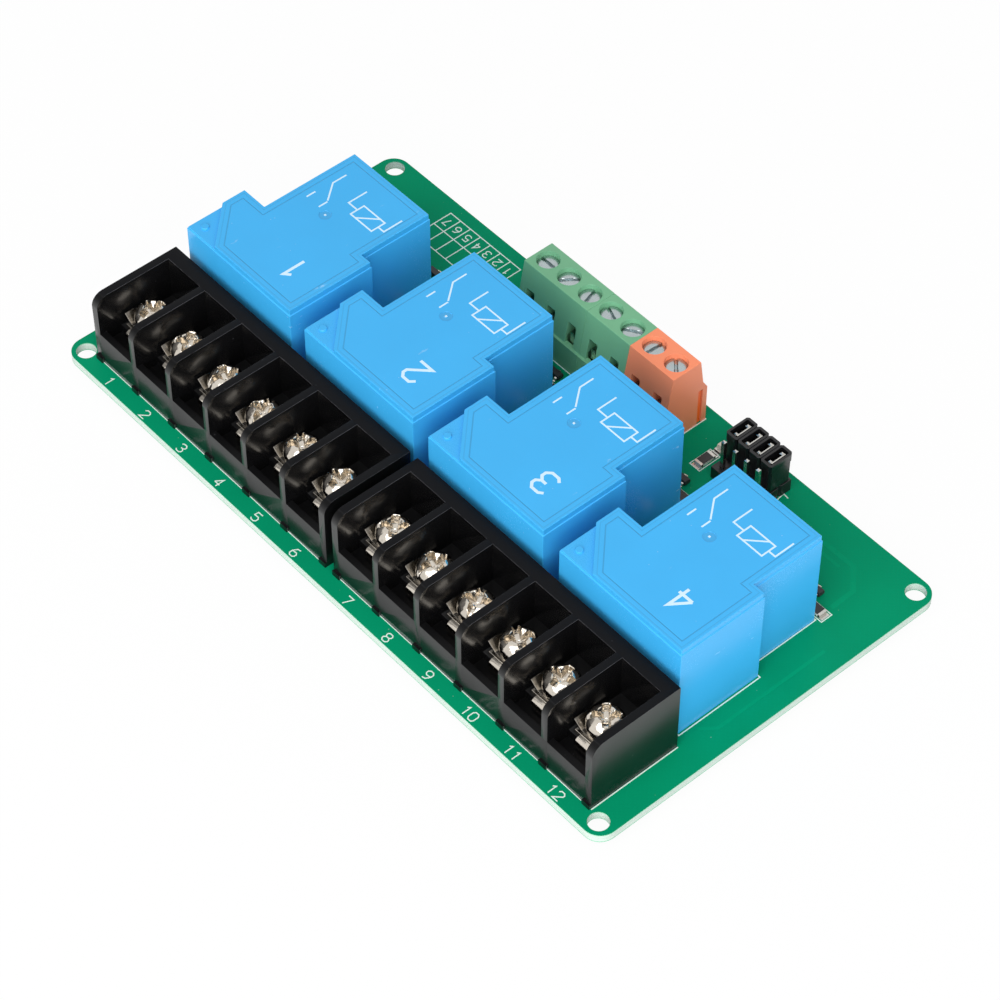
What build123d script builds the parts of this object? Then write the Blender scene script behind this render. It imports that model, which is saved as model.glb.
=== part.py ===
from build123d import *
import math
import os

# Relay module board: four sealed power relays, two six-way barrier blocks for the loads,
# seven screw terminals for supply and control, a jumper header that sets the trigger level
# of each channel, and the small driver parts, all soldered to one circuit board.
# Sizes are in millimetres. The origin is the middle of the four mounting holes on the
# underside of the board. +X runs along the board, +Y from the barrier blocks to the screw
# terminals, and +Z up from the board to the parts.

# Circuit board
board_length = 129.0
board_thickness = 1.6
board_corner_radius = 3.0
mount_inset_x = 2.75
mount_inset_y = 2.5
mount_hole_diameter = 3.4
lead_hole_clearance = 0.15
lead_protrusion = 1.9
lead_hole_sides = 4
screw_hole_sides = 6
screw_head_sides = 14
small_round_sides = 10

# Barrier blocks
barrier_blocks = 2
barrier_bays = 6
barrier_pitch = 9.5
barrier_partition = 1.3
barrier_end_wall = 1.4
barrier_depth = 17.0
barrier_height = 14.0
barrier_back_wall = 2.6
barrier_front_setback = 3.15
barrier_block_gap = 1.7
barrier_nose_radius = 2.2
ledge_height = 6.3
ledge_thickness = 1.2
bay_seat_height = 5.7
bay_pocket_floor = 4.2
foot_width = 1.6
foot_proud = 0.4
foot_height = 1.0

# Load contacts, clamp washers and load screws in the bays
contact_thickness = 0.8
contact_width = 6.4
contact_end = 11.8
contact_leg_width = 3.0
contact_pin_width = 1.2
contact_tongue_width = 4.0
contact_tongue_length = 1.2
contact_lip_drop = 1.3
contact_lip_clearance = 0.1
contact_slot_clearance = 0.1
load_screw_setback = 7.7
load_screw_diameter = 3.5
load_screw_length = 5.0
load_screw_clearance = 0.15
load_screw_tip_gap = 0.5
load_head_diameter = 5.8
load_head_height = 2.6
load_head_dome = 1.4
load_crown_diameter = 2.0
load_recess_width = 0.75
load_recess_depth = 1.1
load_screw_turn = 37.0
washer_thickness = 0.7
washer_length = 6.0
washer_ear_thickness = 0.55
washer_ear_height = 1.2
washer_ear_clearance = 0.1

# Relays
relay_count = 4
relay_pitch = 29.75
relay_width = 26.2
relay_length = 30.5
relay_height = 19.6
relay_barrier_gap = 1.35
relay_terminal_gap = 6.2
relay_wall = 1.1
relay_left_notch = 5.1
relay_left_notch_start = 11.8
relay_right_notch = 2.2
relay_right_notch_start = 16.6
relay_rim_inset = 0.15
relay_rim_height = 1.1
relay_corner_cut = 7.3
relay_corner_drop = 0.8
relay_dimple_diameter = 2.0
relay_dimple_depth = 0.35
relay_dimple_setback = 17.8
relay_vent_diameter = 1.3
relay_vent_inset = 2.1
relay_vent_height = 0.3
relay_base_thickness = 2.4
relay_base_clearance = 0.1
relay_pin_slot_clearance = 0.1

# Relay magnet
yoke_thickness = 1.8
yoke_side_room = 2.1
yoke_foot_length = 15.6
yoke_rear_clearance = 0.8
core_diameter = 6.0
bobbin_wall = 0.7
bobbin_flange_thickness = 0.9
bobbin_side_gap = 0.25
bobbin_flange_depth = 12.6
bobbin_clearance = 0.05
bobbin_top_gap = 0.2
bobbin_yoke_gap = 0.6
winding_thickness = 2.3
armature_thickness = 1.0
armature_front_overhang = 1.0
armature_gap = 0.1
armature_swing = 3.2

# Relay contacts
blade_thickness = 0.35
blade_width = 5.0
blade_joggle = 2.6
blade_front_clearance = 2.4
blade_root_length = 8.0
blade_flange_gap = 0.8
contact_button_diameter = 4.2
contact_button_height = 0.8
contact_button_sides = 8
contact_button_gap = 0.1
button_setback = 6.0
carrier_thickness = 0.8
carrier_width = 4.6
carrier_side_clearance = 1.2
carrier_roof_gap = 0.85
carrier_pin_width = 1.6
carrier_button_margin = 0.3
common_pin_spacing = 5.0
coil_pin_width = 0.8
coil_pin_gap = 0.9

# Screw terminals
terminal_pitch = 5.0
terminal_ways = (3, 2, 2)
terminal_row_start = -20.2
terminal_edge_setback = 2.2
terminal_depth = 9.6
terminal_height = 14.2
terminal_top_depth = 5.9
terminal_top_setback = 1.7
terminal_step_height = 7.6
terminal_step_depth = 0.95
terminal_step_rise = 1.6
terminal_skirt_height = 5.3
terminal_skirt_step = 0.45
terminal_screw_setback = 4.7
terminal_bore_diameter = 4.0
entry_width = 3.8
entry_floor = 1.2
entry_top = 6.6
entry_depth = 8.5
window_width = 1.9
window_low = 5.3
window_high = 9.5
window_depth = 2.7
groove_width = 0.9
groove_depth = 0.35
groove_setback = 1.0
rib_clearance = 0.1
cage_wall = 0.5
cage_depth = 4.4
cage_clearance = 0.1
terminal_screw_diameter = 2.4
terminal_head_diameter = 3.7
terminal_head_height = 2.2
terminal_head_recess = 0.7
terminal_slot_width = 0.7
terminal_slot_depth = 0.8
terminal_screw_turn = 53.0
terminal_pin_width = 0.9
terminal_pin_setback = 7.9
terminal_pin_height = 7.7
terminal_tongue_thickness = 0.7

# Jumper header
header_pitch = 2.54
header_columns = 4
header_rows = 3
header_centre_x = 29.36
header_edge_setback = 6.26
header_body_height = 2.5
header_body_notch = 0.6
header_pin_width = 0.64
header_pin_height = 8.5
header_pin_tip = 0.2
header_pin_clearance = 0.02
cap_width = 2.45
cap_length = 4.9
cap_height = 6.1
cap_wall = 0.45
cap_end_wall = 0.6
cap_seat_gap = 0.1
cap_corner = 0.3
clip_thickness = 0.25
clip_length = 3.0
clip_end_gap = 1.0

# Driver parts
opto_length = 6.5
opto_width = 4.6
opto_height = 3.4
opto_lead_width = 1.0
opto_lead_reach = 1.5
opto_lead_pitch = 2.54
transistor_length = 2.9
transistor_width = 1.3
transistor_height = 1.0
transistor_lead_width = 0.4
transistor_lead_reach = 0.6
transistor_lead_spacing = 1.9
diode_length = 4.3
diode_width = 2.6
diode_height = 2.1
diode_tab_width = 1.4
diode_tab_reach = 0.4
smd_lead_thickness = 0.2
smd_standoff = 0.1
chip_length = 3.2
chip_width = 1.6
chip_height = 0.6
led_length = 2.0
led_width = 1.25
led_height = 0.8
led_lens_width = 1.2
led_lens_height = 0.3
driver_offset = 0.3
opto_setback = 19.1
input_resistor_setback = 26.9
transistor_offset = 6.9
transistor_gap = 4.1
diode_offset = -2.0
led_offset = -8.5
base_resistor_offset = 9.6
base_resistor_gap = 1.6
supply_column_x = 21.2
supply_resistor_setback = 8.3
supply_led_setback = 4.7

# Places worked out from the sizes above
relay_block = relay_barrier_gap + relay_length + relay_terminal_gap
board_width = (
    barrier_front_setback + barrier_depth + relay_block + terminal_depth + terminal_edge_setback
)
board_back = board_width / 2
mount_x = board_length / 2 - mount_inset_x
mount_y = board_back - mount_inset_y
top = board_thickness
lead_tip = -lead_protrusion
bay_width = barrier_pitch - barrier_partition
barrier_length = barrier_bays * barrier_pitch - barrier_partition + 2 * barrier_end_wall
barrier_front = barrier_front_setback - board_back
barrier_back = barrier_front + barrier_depth
barrier_xs = [
    (i - (barrier_blocks - 1) / 2) * (barrier_length + barrier_block_gap)
    for i in range(barrier_blocks)
]
bay_xs = [
    centre + (k - (barrier_bays - 1) / 2) * barrier_pitch
    for centre in barrier_xs
    for k in range(barrier_bays)
]
load_screw_y = barrier_front + load_screw_setback
seat_z = top + bay_seat_height
contact_top = seat_z + contact_thickness
washer_top = contact_top + washer_thickness
contact_leg_y = barrier_front + contact_end - contact_thickness / 2
contact_plate_front = load_screw_y - contact_width / 2
contact_front = contact_plate_front - contact_tongue_length
load_screw_tip = washer_top - load_screw_length
relay_xs = [(i - (relay_count - 1) / 2) * relay_pitch for i in range(relay_count)]
relay_front = barrier_back + relay_barrier_gap
relay_rear = relay_front + relay_length
relay_lead_tip = lead_tip - top
terminal_face = board_back - terminal_edge_setback
terminal_screw_y = terminal_face - terminal_screw_setback
terminal_top = top + terminal_height
terminal_pin_y = terminal_face - terminal_pin_setback
terminal_head_low = terminal_top - terminal_head_recess - terminal_head_height
tongue_low = top + entry_floor + 2 * cage_clearance + cage_wall
tongue_high = tongue_low + terminal_tongue_thickness
terminal_xs = [
    terminal_row_start + (k + 0.5) * terminal_pitch for k in range(sum(terminal_ways))
]
header_centre_y = board_back - header_edge_setback
header_xs = [
    header_centre_x + (i - (header_columns - 1) / 2) * header_pitch
    for i in range(header_columns)
]
header_ys = [
    header_centre_y + (j - (header_rows - 1) / 2) * header_pitch
    for j in range(header_rows)
]
cap_y = (header_ys[-1] + header_ys[-2]) / 2
driver_xs = [x - relay_width / 2 - driver_offset for x in relay_xs]
opto_y = relay_front + opto_setback
input_resistor_y = relay_front + input_resistor_setback
transistor_y = relay_rear + transistor_gap
base_resistor_y = relay_rear + base_resistor_gap
supply_resistor_y = board_back - supply_resistor_setback
supply_led_y = board_back - supply_led_setback

# Places inside a relay: x from its middle, y from its front, z from the board
coil_x = (relay_left_notch - relay_right_notch) / 2
yoke_rear = relay_length - relay_wall - yoke_rear_clearance
yoke_front = yoke_rear - yoke_foot_length
foot_top = relay_base_thickness + yoke_thickness
flange_rear = yoke_rear - yoke_thickness - bobbin_yoke_gap
flange_front = flange_rear - bobbin_flange_depth
coil_y = (flange_front + flange_rear) / 2
narrow_width = relay_width - relay_left_notch - relay_right_notch
bobbin_flange_width = narrow_width - 2 * (relay_wall + bobbin_side_gap)
yoke_width = bobbin_flange_width - 2 * yoke_side_room
bobbin_tube_diameter = core_diameter + 2 * (bobbin_clearance + bobbin_wall)
armature_front = coil_y - core_diameter / 2 - armature_front_overhang
button_reach = yoke_rear - button_setback + contact_button_diameter / 2
button_lift = button_reach * math.sin(math.radians(armature_swing))
carrier_top = relay_height - relay_wall - carrier_roof_gap
closed_button_low = carrier_top - carrier_thickness - contact_button_height
raised_button_top = closed_button_low - contact_button_gap
blade_high = raised_button_top - button_lift - contact_button_height
blade_low = blade_high - blade_thickness
open_button_low = blade_low - 2 * contact_button_height - contact_button_gap
armature_top = blade_low + blade_joggle
armature_low = armature_top - armature_thickness
yoke_top = armature_low - armature_gap
bobbin_top = yoke_top - bobbin_top_gap
winding_low = foot_top + bobbin_flange_thickness
winding_high = bobbin_top - bobbin_flange_thickness
carrier_leg_x = relay_width / 2 - relay_wall - carrier_side_clearance - carrier_thickness / 2
common_y = yoke_front - carrier_thickness / 2
coil_pin_x = (yoke_width + coil_pin_width) / 2 + coil_pin_gap
relay_leads = [
    (carrier_leg_x, button_setback, carrier_thickness, carrier_pin_width),
    (-carrier_leg_x, button_setback, carrier_thickness, carrier_pin_width),
    (coil_x - common_pin_spacing / 2, common_y, carrier_pin_width, carrier_thickness),
    (coil_x + common_pin_spacing / 2, common_y, carrier_pin_width, carrier_thickness),
    (coil_x - coil_pin_x, coil_y, coil_pin_width, coil_pin_width),
    (coil_x + coil_pin_x, coil_y, coil_pin_width, coil_pin_width),
]


def block(x0, x1, y0, y1, z0, z1):
    """A rectangular block between two corners."""
    centre = Pos((x0 + x1) / 2, (y0 + y1) / 2, (z0 + z1) / 2)
    return centre * Box(abs(x1 - x0), abs(y1 - y0), abs(z1 - z0))


def bar(x, y, width, depth, z0, z1):
    """An upright bar centred on x and y."""
    return block(x - width / 2, x + width / 2, y - depth / 2, y + depth / 2, z0, z1)


def rod(x, y, diameter, z0, z1):
    """An upright round rod."""
    return Pos(x, y, (z0 + z1) / 2) * Cylinder(diameter / 2, z1 - z0)


def flat_hole(x, y, diameter, sides, z0, z1):
    """An upright prism whose flats lie outside a circle, so that a round rod passes."""
    face = RegularPolygon(diameter / 2, sides, major_radius=False)
    return Pos(x, y, z0) * extrude(face, amount=z1 - z0)


def flat_rod(x, y, diameter, sides, z0, z1):
    """An upright prism whose corners lie on a circle, so that it fits a round hole."""
    face = RegularPolygon(diameter / 2, sides)
    return Pos(x, y, z0) * extrude(face, amount=z1 - z0)


def side_form(points, x0, x1):
    """A side view of y and z points carried along X."""
    face = Plane.YZ * make_face(Polyline(*points, close=True))
    return Pos(x0, 0, 0) * extrude(face, amount=x1 - x0)


def fused(pieces):
    """One solid made of touching or overlapping pieces."""
    whole = pieces[0]
    for piece in pieces[1:]:
        whole = whole + piece
    return whole


def save(name, *solids):
    """Write one node, which may hold several separate solids."""
    parts = [piece for solid in solids for piece in solid.solids()]
    shape = parts[0] if len(parts) == 1 else Compound(children=parts)
    export_step(shape, os.path.join("parts", name + ".step"))


def lead_hole(x, y, width, depth):
    """A hole through the board that clears a rectangular lead all round."""
    diameter = math.hypot(width, depth) + 2 * lead_hole_clearance
    return flat_hole(x, y, diameter, lead_hole_sides, 0, top)


# Barrier blocks


def barrier_housing(centre):
    """Moulded block: open bays between partitions, with a low front wall."""
    x0 = centre - barrier_length / 2
    x1 = centre + barrier_length / 2
    z1 = top + barrier_height
    ledge_z = top + ledge_height
    body = block(x0, x1, barrier_front, barrier_back, top, z1)
    front_edges = body.edges().filter_by(Axis.X).sort_by(Axis.Y)[:2]
    body = fillet(front_edges.sort_by(Axis.Z)[-1], barrier_nose_radius)
    bay_back = barrier_back - barrier_back_wall
    pocket_front = barrier_front + ledge_thickness
    pocket_back = contact_front + contact_thickness + contact_lip_clearance
    slot_width = contact_leg_width + 2 * contact_slot_clearance
    slot_depth = contact_thickness + 2 * contact_slot_clearance
    tools = []
    feet = []
    for k in range(barrier_bays):
        x = centre + (k - (barrier_bays - 1) / 2) * barrier_pitch
        left = x - bay_width / 2
        right = x + bay_width / 2
        tools += [
            block(left, right, barrier_front, bay_back, ledge_z, z1),
            block(left, right, pocket_front, bay_back, seat_z, ledge_z),
            block(left, right, pocket_front, pocket_back, top + bay_pocket_floor, seat_z),
            bar(x, contact_leg_y, slot_width, slot_depth, top, seat_z),
            load_hole(x, load_screw_tip - load_screw_tip_gap, seat_z),
        ]
    for k in range(barrier_bays + 1):
        x = centre + (k - barrier_bays / 2) * barrier_pitch
        x = min(max(x, x0 + foot_width / 2), x1 - foot_width / 2)
        foot_y = barrier_front - foot_proud / 2
        feet.append(bar(x, foot_y, foot_width, foot_proud, top, top + foot_height))
    return fused([body - tools, *feet])


def load_hole(x, z0, z1):
    """The hole that a load screw passes through, with flat sides."""
    diameter = load_screw_diameter + 2 * load_screw_clearance
    return flat_hole(x, load_screw_y, diameter, screw_hole_sides, z0, z1)


def load_contact(x):
    """Plate under the clamp, with a turned-down lip in front and a leg through the board."""
    plate_back = contact_leg_y + contact_thickness / 2
    plate_y = (contact_plate_front + plate_back) / 2
    plate_depth = plate_back - contact_plate_front
    plate = bar(x, plate_y, contact_width, plate_depth, seat_z, contact_top)
    lip_low = seat_z - contact_lip_drop
    lip_back = contact_front + contact_thickness
    tongue = side_form(
        [
            (contact_plate_front, seat_z),
            (contact_plate_front, contact_top),
            (contact_front, contact_top),
            (contact_front, lip_low),
            (lip_back, lip_low),
            (lip_back, seat_z),
        ],
        x - contact_tongue_width / 2,
        x + contact_tongue_width / 2,
    )
    leg = bar(x, contact_leg_y, contact_leg_width, contact_thickness, top, seat_z)
    pin = bar(x, contact_leg_y, contact_pin_width, contact_thickness, lead_tip, top)
    return fused([plate, tongue, leg, pin]) - load_hole(x, seat_z, contact_top)


def clamp_washer(x):
    """Square saddle washer with its two sides turned up beside the screw head."""
    inner = load_head_diameter / 2 + washer_ear_clearance
    outer = inner + washer_ear_thickness
    ear_x = (inner + outer) / 2
    ear_top = washer_top + washer_ear_height
    plate = bar(x, load_screw_y, 2 * outer, washer_length, contact_top, washer_top)
    ear = bar(0, load_screw_y, washer_ear_thickness, washer_length, washer_top, ear_top)
    ears = [Pos(x + side * ear_x, 0, 0) * ear for side in (-1, 1)]
    return fused([plate, *ears]) - load_hole(x, contact_top, washer_top)


def load_screw(x, turn):
    """Pan head screw with a slot, turned about its own axis."""
    head = flat_rod(0, 0, load_head_diameter, screw_head_sides, 0, load_head_height)
    crown = head.faces().sort_by(Axis.Z)[-1].edges()
    head = chamfer(crown, load_head_dome, (load_head_diameter - load_crown_diameter) / 2)
    floor = load_head_height - load_recess_depth
    slot = bar(0, 0, load_head_diameter, load_recess_width, floor, load_head_height)
    tip = load_screw_tip - washer_top
    screw = head - slot + flat_rod(0, 0, load_screw_diameter, screw_hole_sides, tip, 0)
    return Pos(x, load_screw_y, washer_top) * Rot(0, 0, turn) * screw


# Relays, each in its own frame: x from its middle, y from its front, z from the board


def relay_outline(grow=0.0):
    """T-shaped relay outline seen from above, grown or shrunk on every side."""
    half = relay_width / 2
    points = [
        (-half, 0),
        (half, 0),
        (half, relay_right_notch_start),
        (half - relay_right_notch, relay_right_notch_start),
        (half - relay_right_notch, relay_length),
        (relay_left_notch - half, relay_length),
        (relay_left_notch - half, relay_left_notch_start),
        (-half, relay_left_notch_start),
    ]
    face = make_face(Polyline(*points, close=True))
    return offset(face, grow, kind=Kind.INTERSECTION) if grow else face


def vent_corner(size, z0, z1):
    """Three-sided prism at the front left corner of a relay."""
    x = -relay_width / 2
    face = make_face(Polyline((x, 0), (x + size, 0), (x, size), close=True))
    return Pos(0, 0, z0) * extrude(face, amount=z1 - z0)


def relay_cover():
    """Moulded cover: T-shaped can with a stepped rim, a low vent corner and a gate dimple."""
    wall_height = relay_height - relay_rim_height
    low = relay_height - relay_corner_drop
    ceiling = relay_height - relay_wall
    can = extrude(relay_outline(), amount=wall_height)
    can += Pos(0, 0, wall_height) * extrude(
        relay_outline(-relay_rim_inset), amount=relay_rim_height
    )
    inner_corner = relay_corner_cut + math.sqrt(2) * relay_wall
    room = extrude(relay_outline(-relay_wall), amount=ceiling)
    room -= vent_corner(inner_corner, low - relay_wall, relay_height)
    dimple_floor = relay_height - relay_dimple_depth
    dimple = flat_rod(
        0,
        relay_dimple_setback,
        relay_dimple_diameter,
        small_round_sides,
        dimple_floor,
        relay_height,
    )
    vent = flat_rod(
        relay_vent_inset - relay_width / 2,
        relay_vent_inset,
        relay_vent_diameter,
        small_round_sides,
        low,
        low + relay_vent_height,
    )
    corner = vent_corner(relay_corner_cut, low, relay_height)
    return can - [room, corner, dimple] + vent


def relay_base():
    """Plate that closes the cover, with a slot for each lead."""
    plate = extrude(
        relay_outline(-relay_wall - relay_base_clearance), amount=relay_base_thickness
    )
    gap = 2 * relay_pin_slot_clearance
    slots = [
        bar(x, y, width + gap, depth + gap, 0, relay_base_thickness)
        for x, y, width, depth in relay_leads
    ]
    return plate - slots


def relay_yoke():
    """Bent steel yoke: a foot under the coil and a leg behind it that carries the armature."""
    half = yoke_width / 2
    leg_front = yoke_rear - yoke_thickness
    foot = block(
        coil_x - half, coil_x + half, yoke_front, yoke_rear, relay_base_thickness, foot_top
    )
    leg = block(coil_x - half, coil_x + half, leg_front, yoke_rear, foot_top, yoke_top)
    return foot + leg


def relay_core():
    """Round iron core that stands on the yoke foot and ends level with the yoke leg."""
    return flat_rod(coil_x, coil_y, core_diameter, small_round_sides, foot_top, yoke_top)


def relay_bobbin():
    """Moulded bobbin: a tube round the core between two square flanges."""
    half = bobbin_flange_width / 2
    x0 = coil_x - half
    x1 = coil_x + half
    low_flange = block(x0, x1, flange_front, flange_rear, foot_top, winding_low)
    high_flange = block(x0, x1, flange_front, flange_rear, winding_high, bobbin_top)
    tube = flat_rod(
        coil_x, coil_y, bobbin_tube_diameter, small_round_sides, foot_top, bobbin_top
    )
    bore = core_diameter + 2 * bobbin_clearance
    hole = flat_hole(coil_x, coil_y, bore, small_round_sides, foot_top, bobbin_top)
    return low_flange + high_flange + tube - hole


def relay_winding():
    """The wound copper as one thick tube between the flanges."""
    inner = bobbin_tube_diameter + 2 * bobbin_clearance
    outer = inner + 2 * winding_thickness
    low = winding_low + bobbin_clearance
    high = winding_high - bobbin_clearance
    wound = flat_rod(coil_x, coil_y, outer, small_round_sides, low, high)
    return wound - flat_hole(coil_x, coil_y, inner, small_round_sides, low, high)


def released(shape):
    """A moving piece tipped up from the closed position to its rest."""
    hinge = Pos(0, yoke_rear, yoke_top)
    back = Pos(0, -yoke_rear, -yoke_top)
    return hinge * Rot(-armature_swing, 0, 0) * back * shape


def relay_armature():
    """Flat steel armature that tips about the top rear edge of the yoke."""
    x0 = coil_x - yoke_width / 2
    x1 = coil_x + yoke_width / 2
    plate = block(x0, x1, armature_front, yoke_rear, armature_low, armature_top)
    return released(plate)


def relay_blade():
    """Contact blade on the armature: stepped down in front, with a button on each side."""
    front = relay_wall + blade_front_clearance
    step_rear = flange_front - blade_flange_gap
    step_front = step_rear - blade_thickness
    root = armature_front + blade_root_length
    blade = side_form(
        [
            (root, armature_top),
            (root, armature_top + blade_thickness),
            (step_front, armature_top + blade_thickness),
            (step_front, blade_high),
            (front, blade_high),
            (front, blade_low),
            (step_rear, blade_low),
            (step_rear, armature_top),
        ],
        coil_x - blade_width / 2,
        coil_x + blade_width / 2,
    )
    buttons = [button(blade_high), button(blade_low - contact_button_height)]
    return released(fused([blade, *buttons]))


def button(z):
    """Contact button with its lower face at z."""
    return flat_rod(
        coil_x,
        button_setback,
        contact_button_diameter,
        contact_button_sides,
        z,
        z + contact_button_height,
    )


def relay_terminals():
    """Closed contact, open contact, common plate and the two coil pins."""
    solids = []
    arm_overlap = contact_button_diameter / 2 + carrier_button_margin
    y0 = button_setback - carrier_width / 2
    y1 = button_setback + carrier_width / 2
    for side, button_low, arm_low in (
        (1, closed_button_low, closed_button_low + contact_button_height),
        (-1, open_button_low, open_button_low - carrier_thickness),
    ):
        leg_x = side * carrier_leg_x
        arm_high = arm_low + carrier_thickness
        end_x = leg_x + side * carrier_thickness / 2
        arm = block(coil_x - side * arm_overlap, end_x, y0, y1, arm_low, arm_high)
        leg = bar(
            leg_x, button_setback, carrier_thickness, carrier_width, relay_base_thickness, arm_low
        )
        pin = bar(
            leg_x,
            button_setback,
            carrier_thickness,
            carrier_pin_width,
            relay_lead_tip,
            relay_base_thickness,
        )
        solids.append(fused([arm, leg, pin, button(button_low)]))
    common = bar(
        coil_x,
        common_y,
        common_pin_spacing + carrier_pin_width,
        carrier_thickness,
        relay_base_thickness,
        foot_top,
    )
    for x, y, width, depth in relay_leads[2:4]:
        common += bar(x, y, width, depth, relay_lead_tip, relay_base_thickness)
    solids.append(common)
    for x, y, width, depth in relay_leads[4:]:
        solids.append(bar(x, y, width, depth, relay_lead_tip, foot_top))
    return solids


# Screw terminals


def terminal_housing(start, ways):
    """Moulded housing with wire entries outside, test windows inside and screw bores on top."""
    length = ways * terminal_pitch
    slope_back = terminal_face - terminal_top_setback - terminal_top_depth
    skirt_face = terminal_face - terminal_depth
    body = side_form(
        [
            (terminal_face, top),
            (terminal_face, top + terminal_step_height),
            (terminal_face - terminal_step_depth, top + terminal_step_height + terminal_step_rise),
            (terminal_face - terminal_top_setback, terminal_top),
            (slope_back, terminal_top),
            (skirt_face + terminal_skirt_step, top + terminal_skirt_height),
            (skirt_face, top + terminal_skirt_height),
            (skirt_face, top),
        ],
        start,
        start + length,
    )
    entry_end = terminal_face - entry_depth
    tools = []
    for k in range(ways):
        x = start + (k + 0.5) * terminal_pitch
        left = x - entry_width / 2
        right = x + entry_width / 2
        pin_hole = terminal_pin_width + 2 * lead_hole_clearance
        tools += [
            block(left, right, entry_end, terminal_face, top + entry_floor, top + entry_top),
            flat_hole(
                x,
                terminal_screw_y,
                terminal_bore_diameter,
                small_round_sides,
                terminal_head_low,
                terminal_top,
            ),
            flat_hole(
                x,
                terminal_screw_y,
                terminal_screw_diameter + 2 * cage_clearance,
                screw_hole_sides,
                top + entry_top,
                terminal_head_low,
            ),
            block(
                x - window_width / 2,
                x + window_width / 2,
                skirt_face,
                skirt_face + window_depth,
                top + window_low,
                top + window_high,
            ),
            bar(x, terminal_pin_y, pin_hole, pin_hole, top, top + entry_floor),
        ]
    groove_y = terminal_face - groove_setback - groove_width / 2
    end = start + length - groove_depth / 2
    tools.append(bar(end, groove_y, groove_depth, groove_width, top, top + terminal_step_height))
    rib = bar(
        start - (groove_depth - rib_clearance) / 2,
        groove_y,
        groove_depth - rib_clearance,
        groove_width - 2 * rib_clearance,
        top,
        top + terminal_step_height - rib_clearance,
    )
    return body - tools + rib


def terminal_cage(x):
    """Square clamp cage, open front and back, with a hole for its screw."""
    half = entry_width / 2 - cage_clearance
    y0 = terminal_screw_y - cage_depth / 2
    y1 = terminal_screw_y + cage_depth / 2
    low = top + entry_floor + cage_clearance
    high = top + entry_top - cage_clearance
    room = half - cage_wall
    roof = high - cage_wall
    bore = terminal_screw_diameter + 2 * cage_clearance
    tube = block(x - half, x + half, y0, y1, low, high)
    inside = block(x - room, x + room, y0, y1, low + cage_wall, roof)
    hole = flat_hole(x, terminal_screw_y, bore, screw_hole_sides, roof, high)
    return tube - [inside, hole]


def terminal_screw(x, turn):
    """Slotted cheese head screw, sunk in its bore."""
    head_top = terminal_top - terminal_head_recess
    head = flat_rod(
        0, 0, terminal_head_diameter, screw_head_sides, terminal_head_low, head_top
    )
    slot = bar(
        0,
        0,
        terminal_head_diameter,
        terminal_slot_width,
        head_top - terminal_slot_depth,
        head_top,
    )
    stem = flat_rod(
        0, 0, terminal_screw_diameter, screw_hole_sides, tongue_high, terminal_head_low
    )
    return Pos(x, terminal_screw_y, 0) * Rot(0, 0, turn) * (head - slot + stem)


def terminal_pin(x):
    """Tongue that lies in the cage, on a pin that shows in the window and enters the board."""
    high = top + terminal_pin_height
    back = terminal_pin_y - terminal_pin_width / 2
    front = terminal_screw_y + cage_depth / 2
    width = entry_width - 2 * (2 * cage_clearance + cage_wall)
    tongue = block(x - width / 2, x + width / 2, back, front, tongue_low, tongue_high)
    return tongue + bar(x, terminal_pin_y, terminal_pin_width, terminal_pin_width, lead_tip, high)


# Jumper header


def header_insulator():
    """Moulded strip of square cells, notched between the cells, with a hole for each pin."""
    length = header_columns * header_pitch
    depth = header_rows * header_pitch
    high = top + header_body_height
    body = bar(header_centre_x, header_centre_y, length, depth, top, high)
    notch = Rot(0, 0, 45) * bar(0, 0, header_body_notch, header_body_notch, top, high)
    hole = header_pin_width + 2 * header_pin_clearance
    tools = []
    for i in range(1, header_columns):
        x = header_centre_x + (i - header_columns / 2) * header_pitch
        tools += [Pos(x, header_centre_y + side * depth / 2, 0) * notch for side in (-1, 1)]
    for j in range(1, header_rows):
        y = header_centre_y + (j - header_rows / 2) * header_pitch
        tools += [Pos(header_centre_x + side * length / 2, y, 0) * notch for side in (-1, 1)]
    tools += [bar(x, y, hole, hole, top, high) for x in header_xs for y in header_ys]
    return body - tools


def header_pin(x, y):
    """Square pin with a bevelled tip."""
    high = top + header_pin_height
    pin = bar(x, y, header_pin_width, header_pin_width, lead_tip, high)
    return chamfer(pin.faces().sort_by(Axis.Z)[-1].edges(), header_pin_tip)


def jumper_cap(x):
    """Open-topped push-on cap over the two back rows of pins."""
    low = top + header_body_height + cap_seat_gap
    high = low + cap_height
    body = bar(x, cap_y, cap_width, cap_length, low, high)
    body = chamfer(body.edges().filter_by(Axis.Z), cap_corner)
    room = bar(
        x, cap_y, cap_width - 2 * cap_wall, cap_length - 2 * cap_end_wall, low, high
    )
    return body - room


def jumper_clip(x):
    """Spring strip in a cap that joins the two pins along their side."""
    low = top + header_body_height + cap_seat_gap + clip_end_gap
    high = low + cap_height - 2 * clip_end_gap
    side = x + header_pin_width / 2 + clip_thickness / 2
    return bar(side, cap_y, clip_thickness, clip_length, low, high)


# Driver parts


def optocoupler(x, y):
    """Four-lead moulded package with its leads spread along Y."""
    low = top + smd_standoff
    body = bar(x, y, opto_width, opto_length, low, top + opto_height)
    reach = opto_length + 2 * opto_lead_reach
    lead = bar(x, y, opto_lead_width, reach, top, low + smd_lead_thickness)
    leads = [Pos(side * opto_lead_pitch / 2, 0, 0) * lead for side in (-1, 1)]
    return fused([body, *leads])


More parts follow.
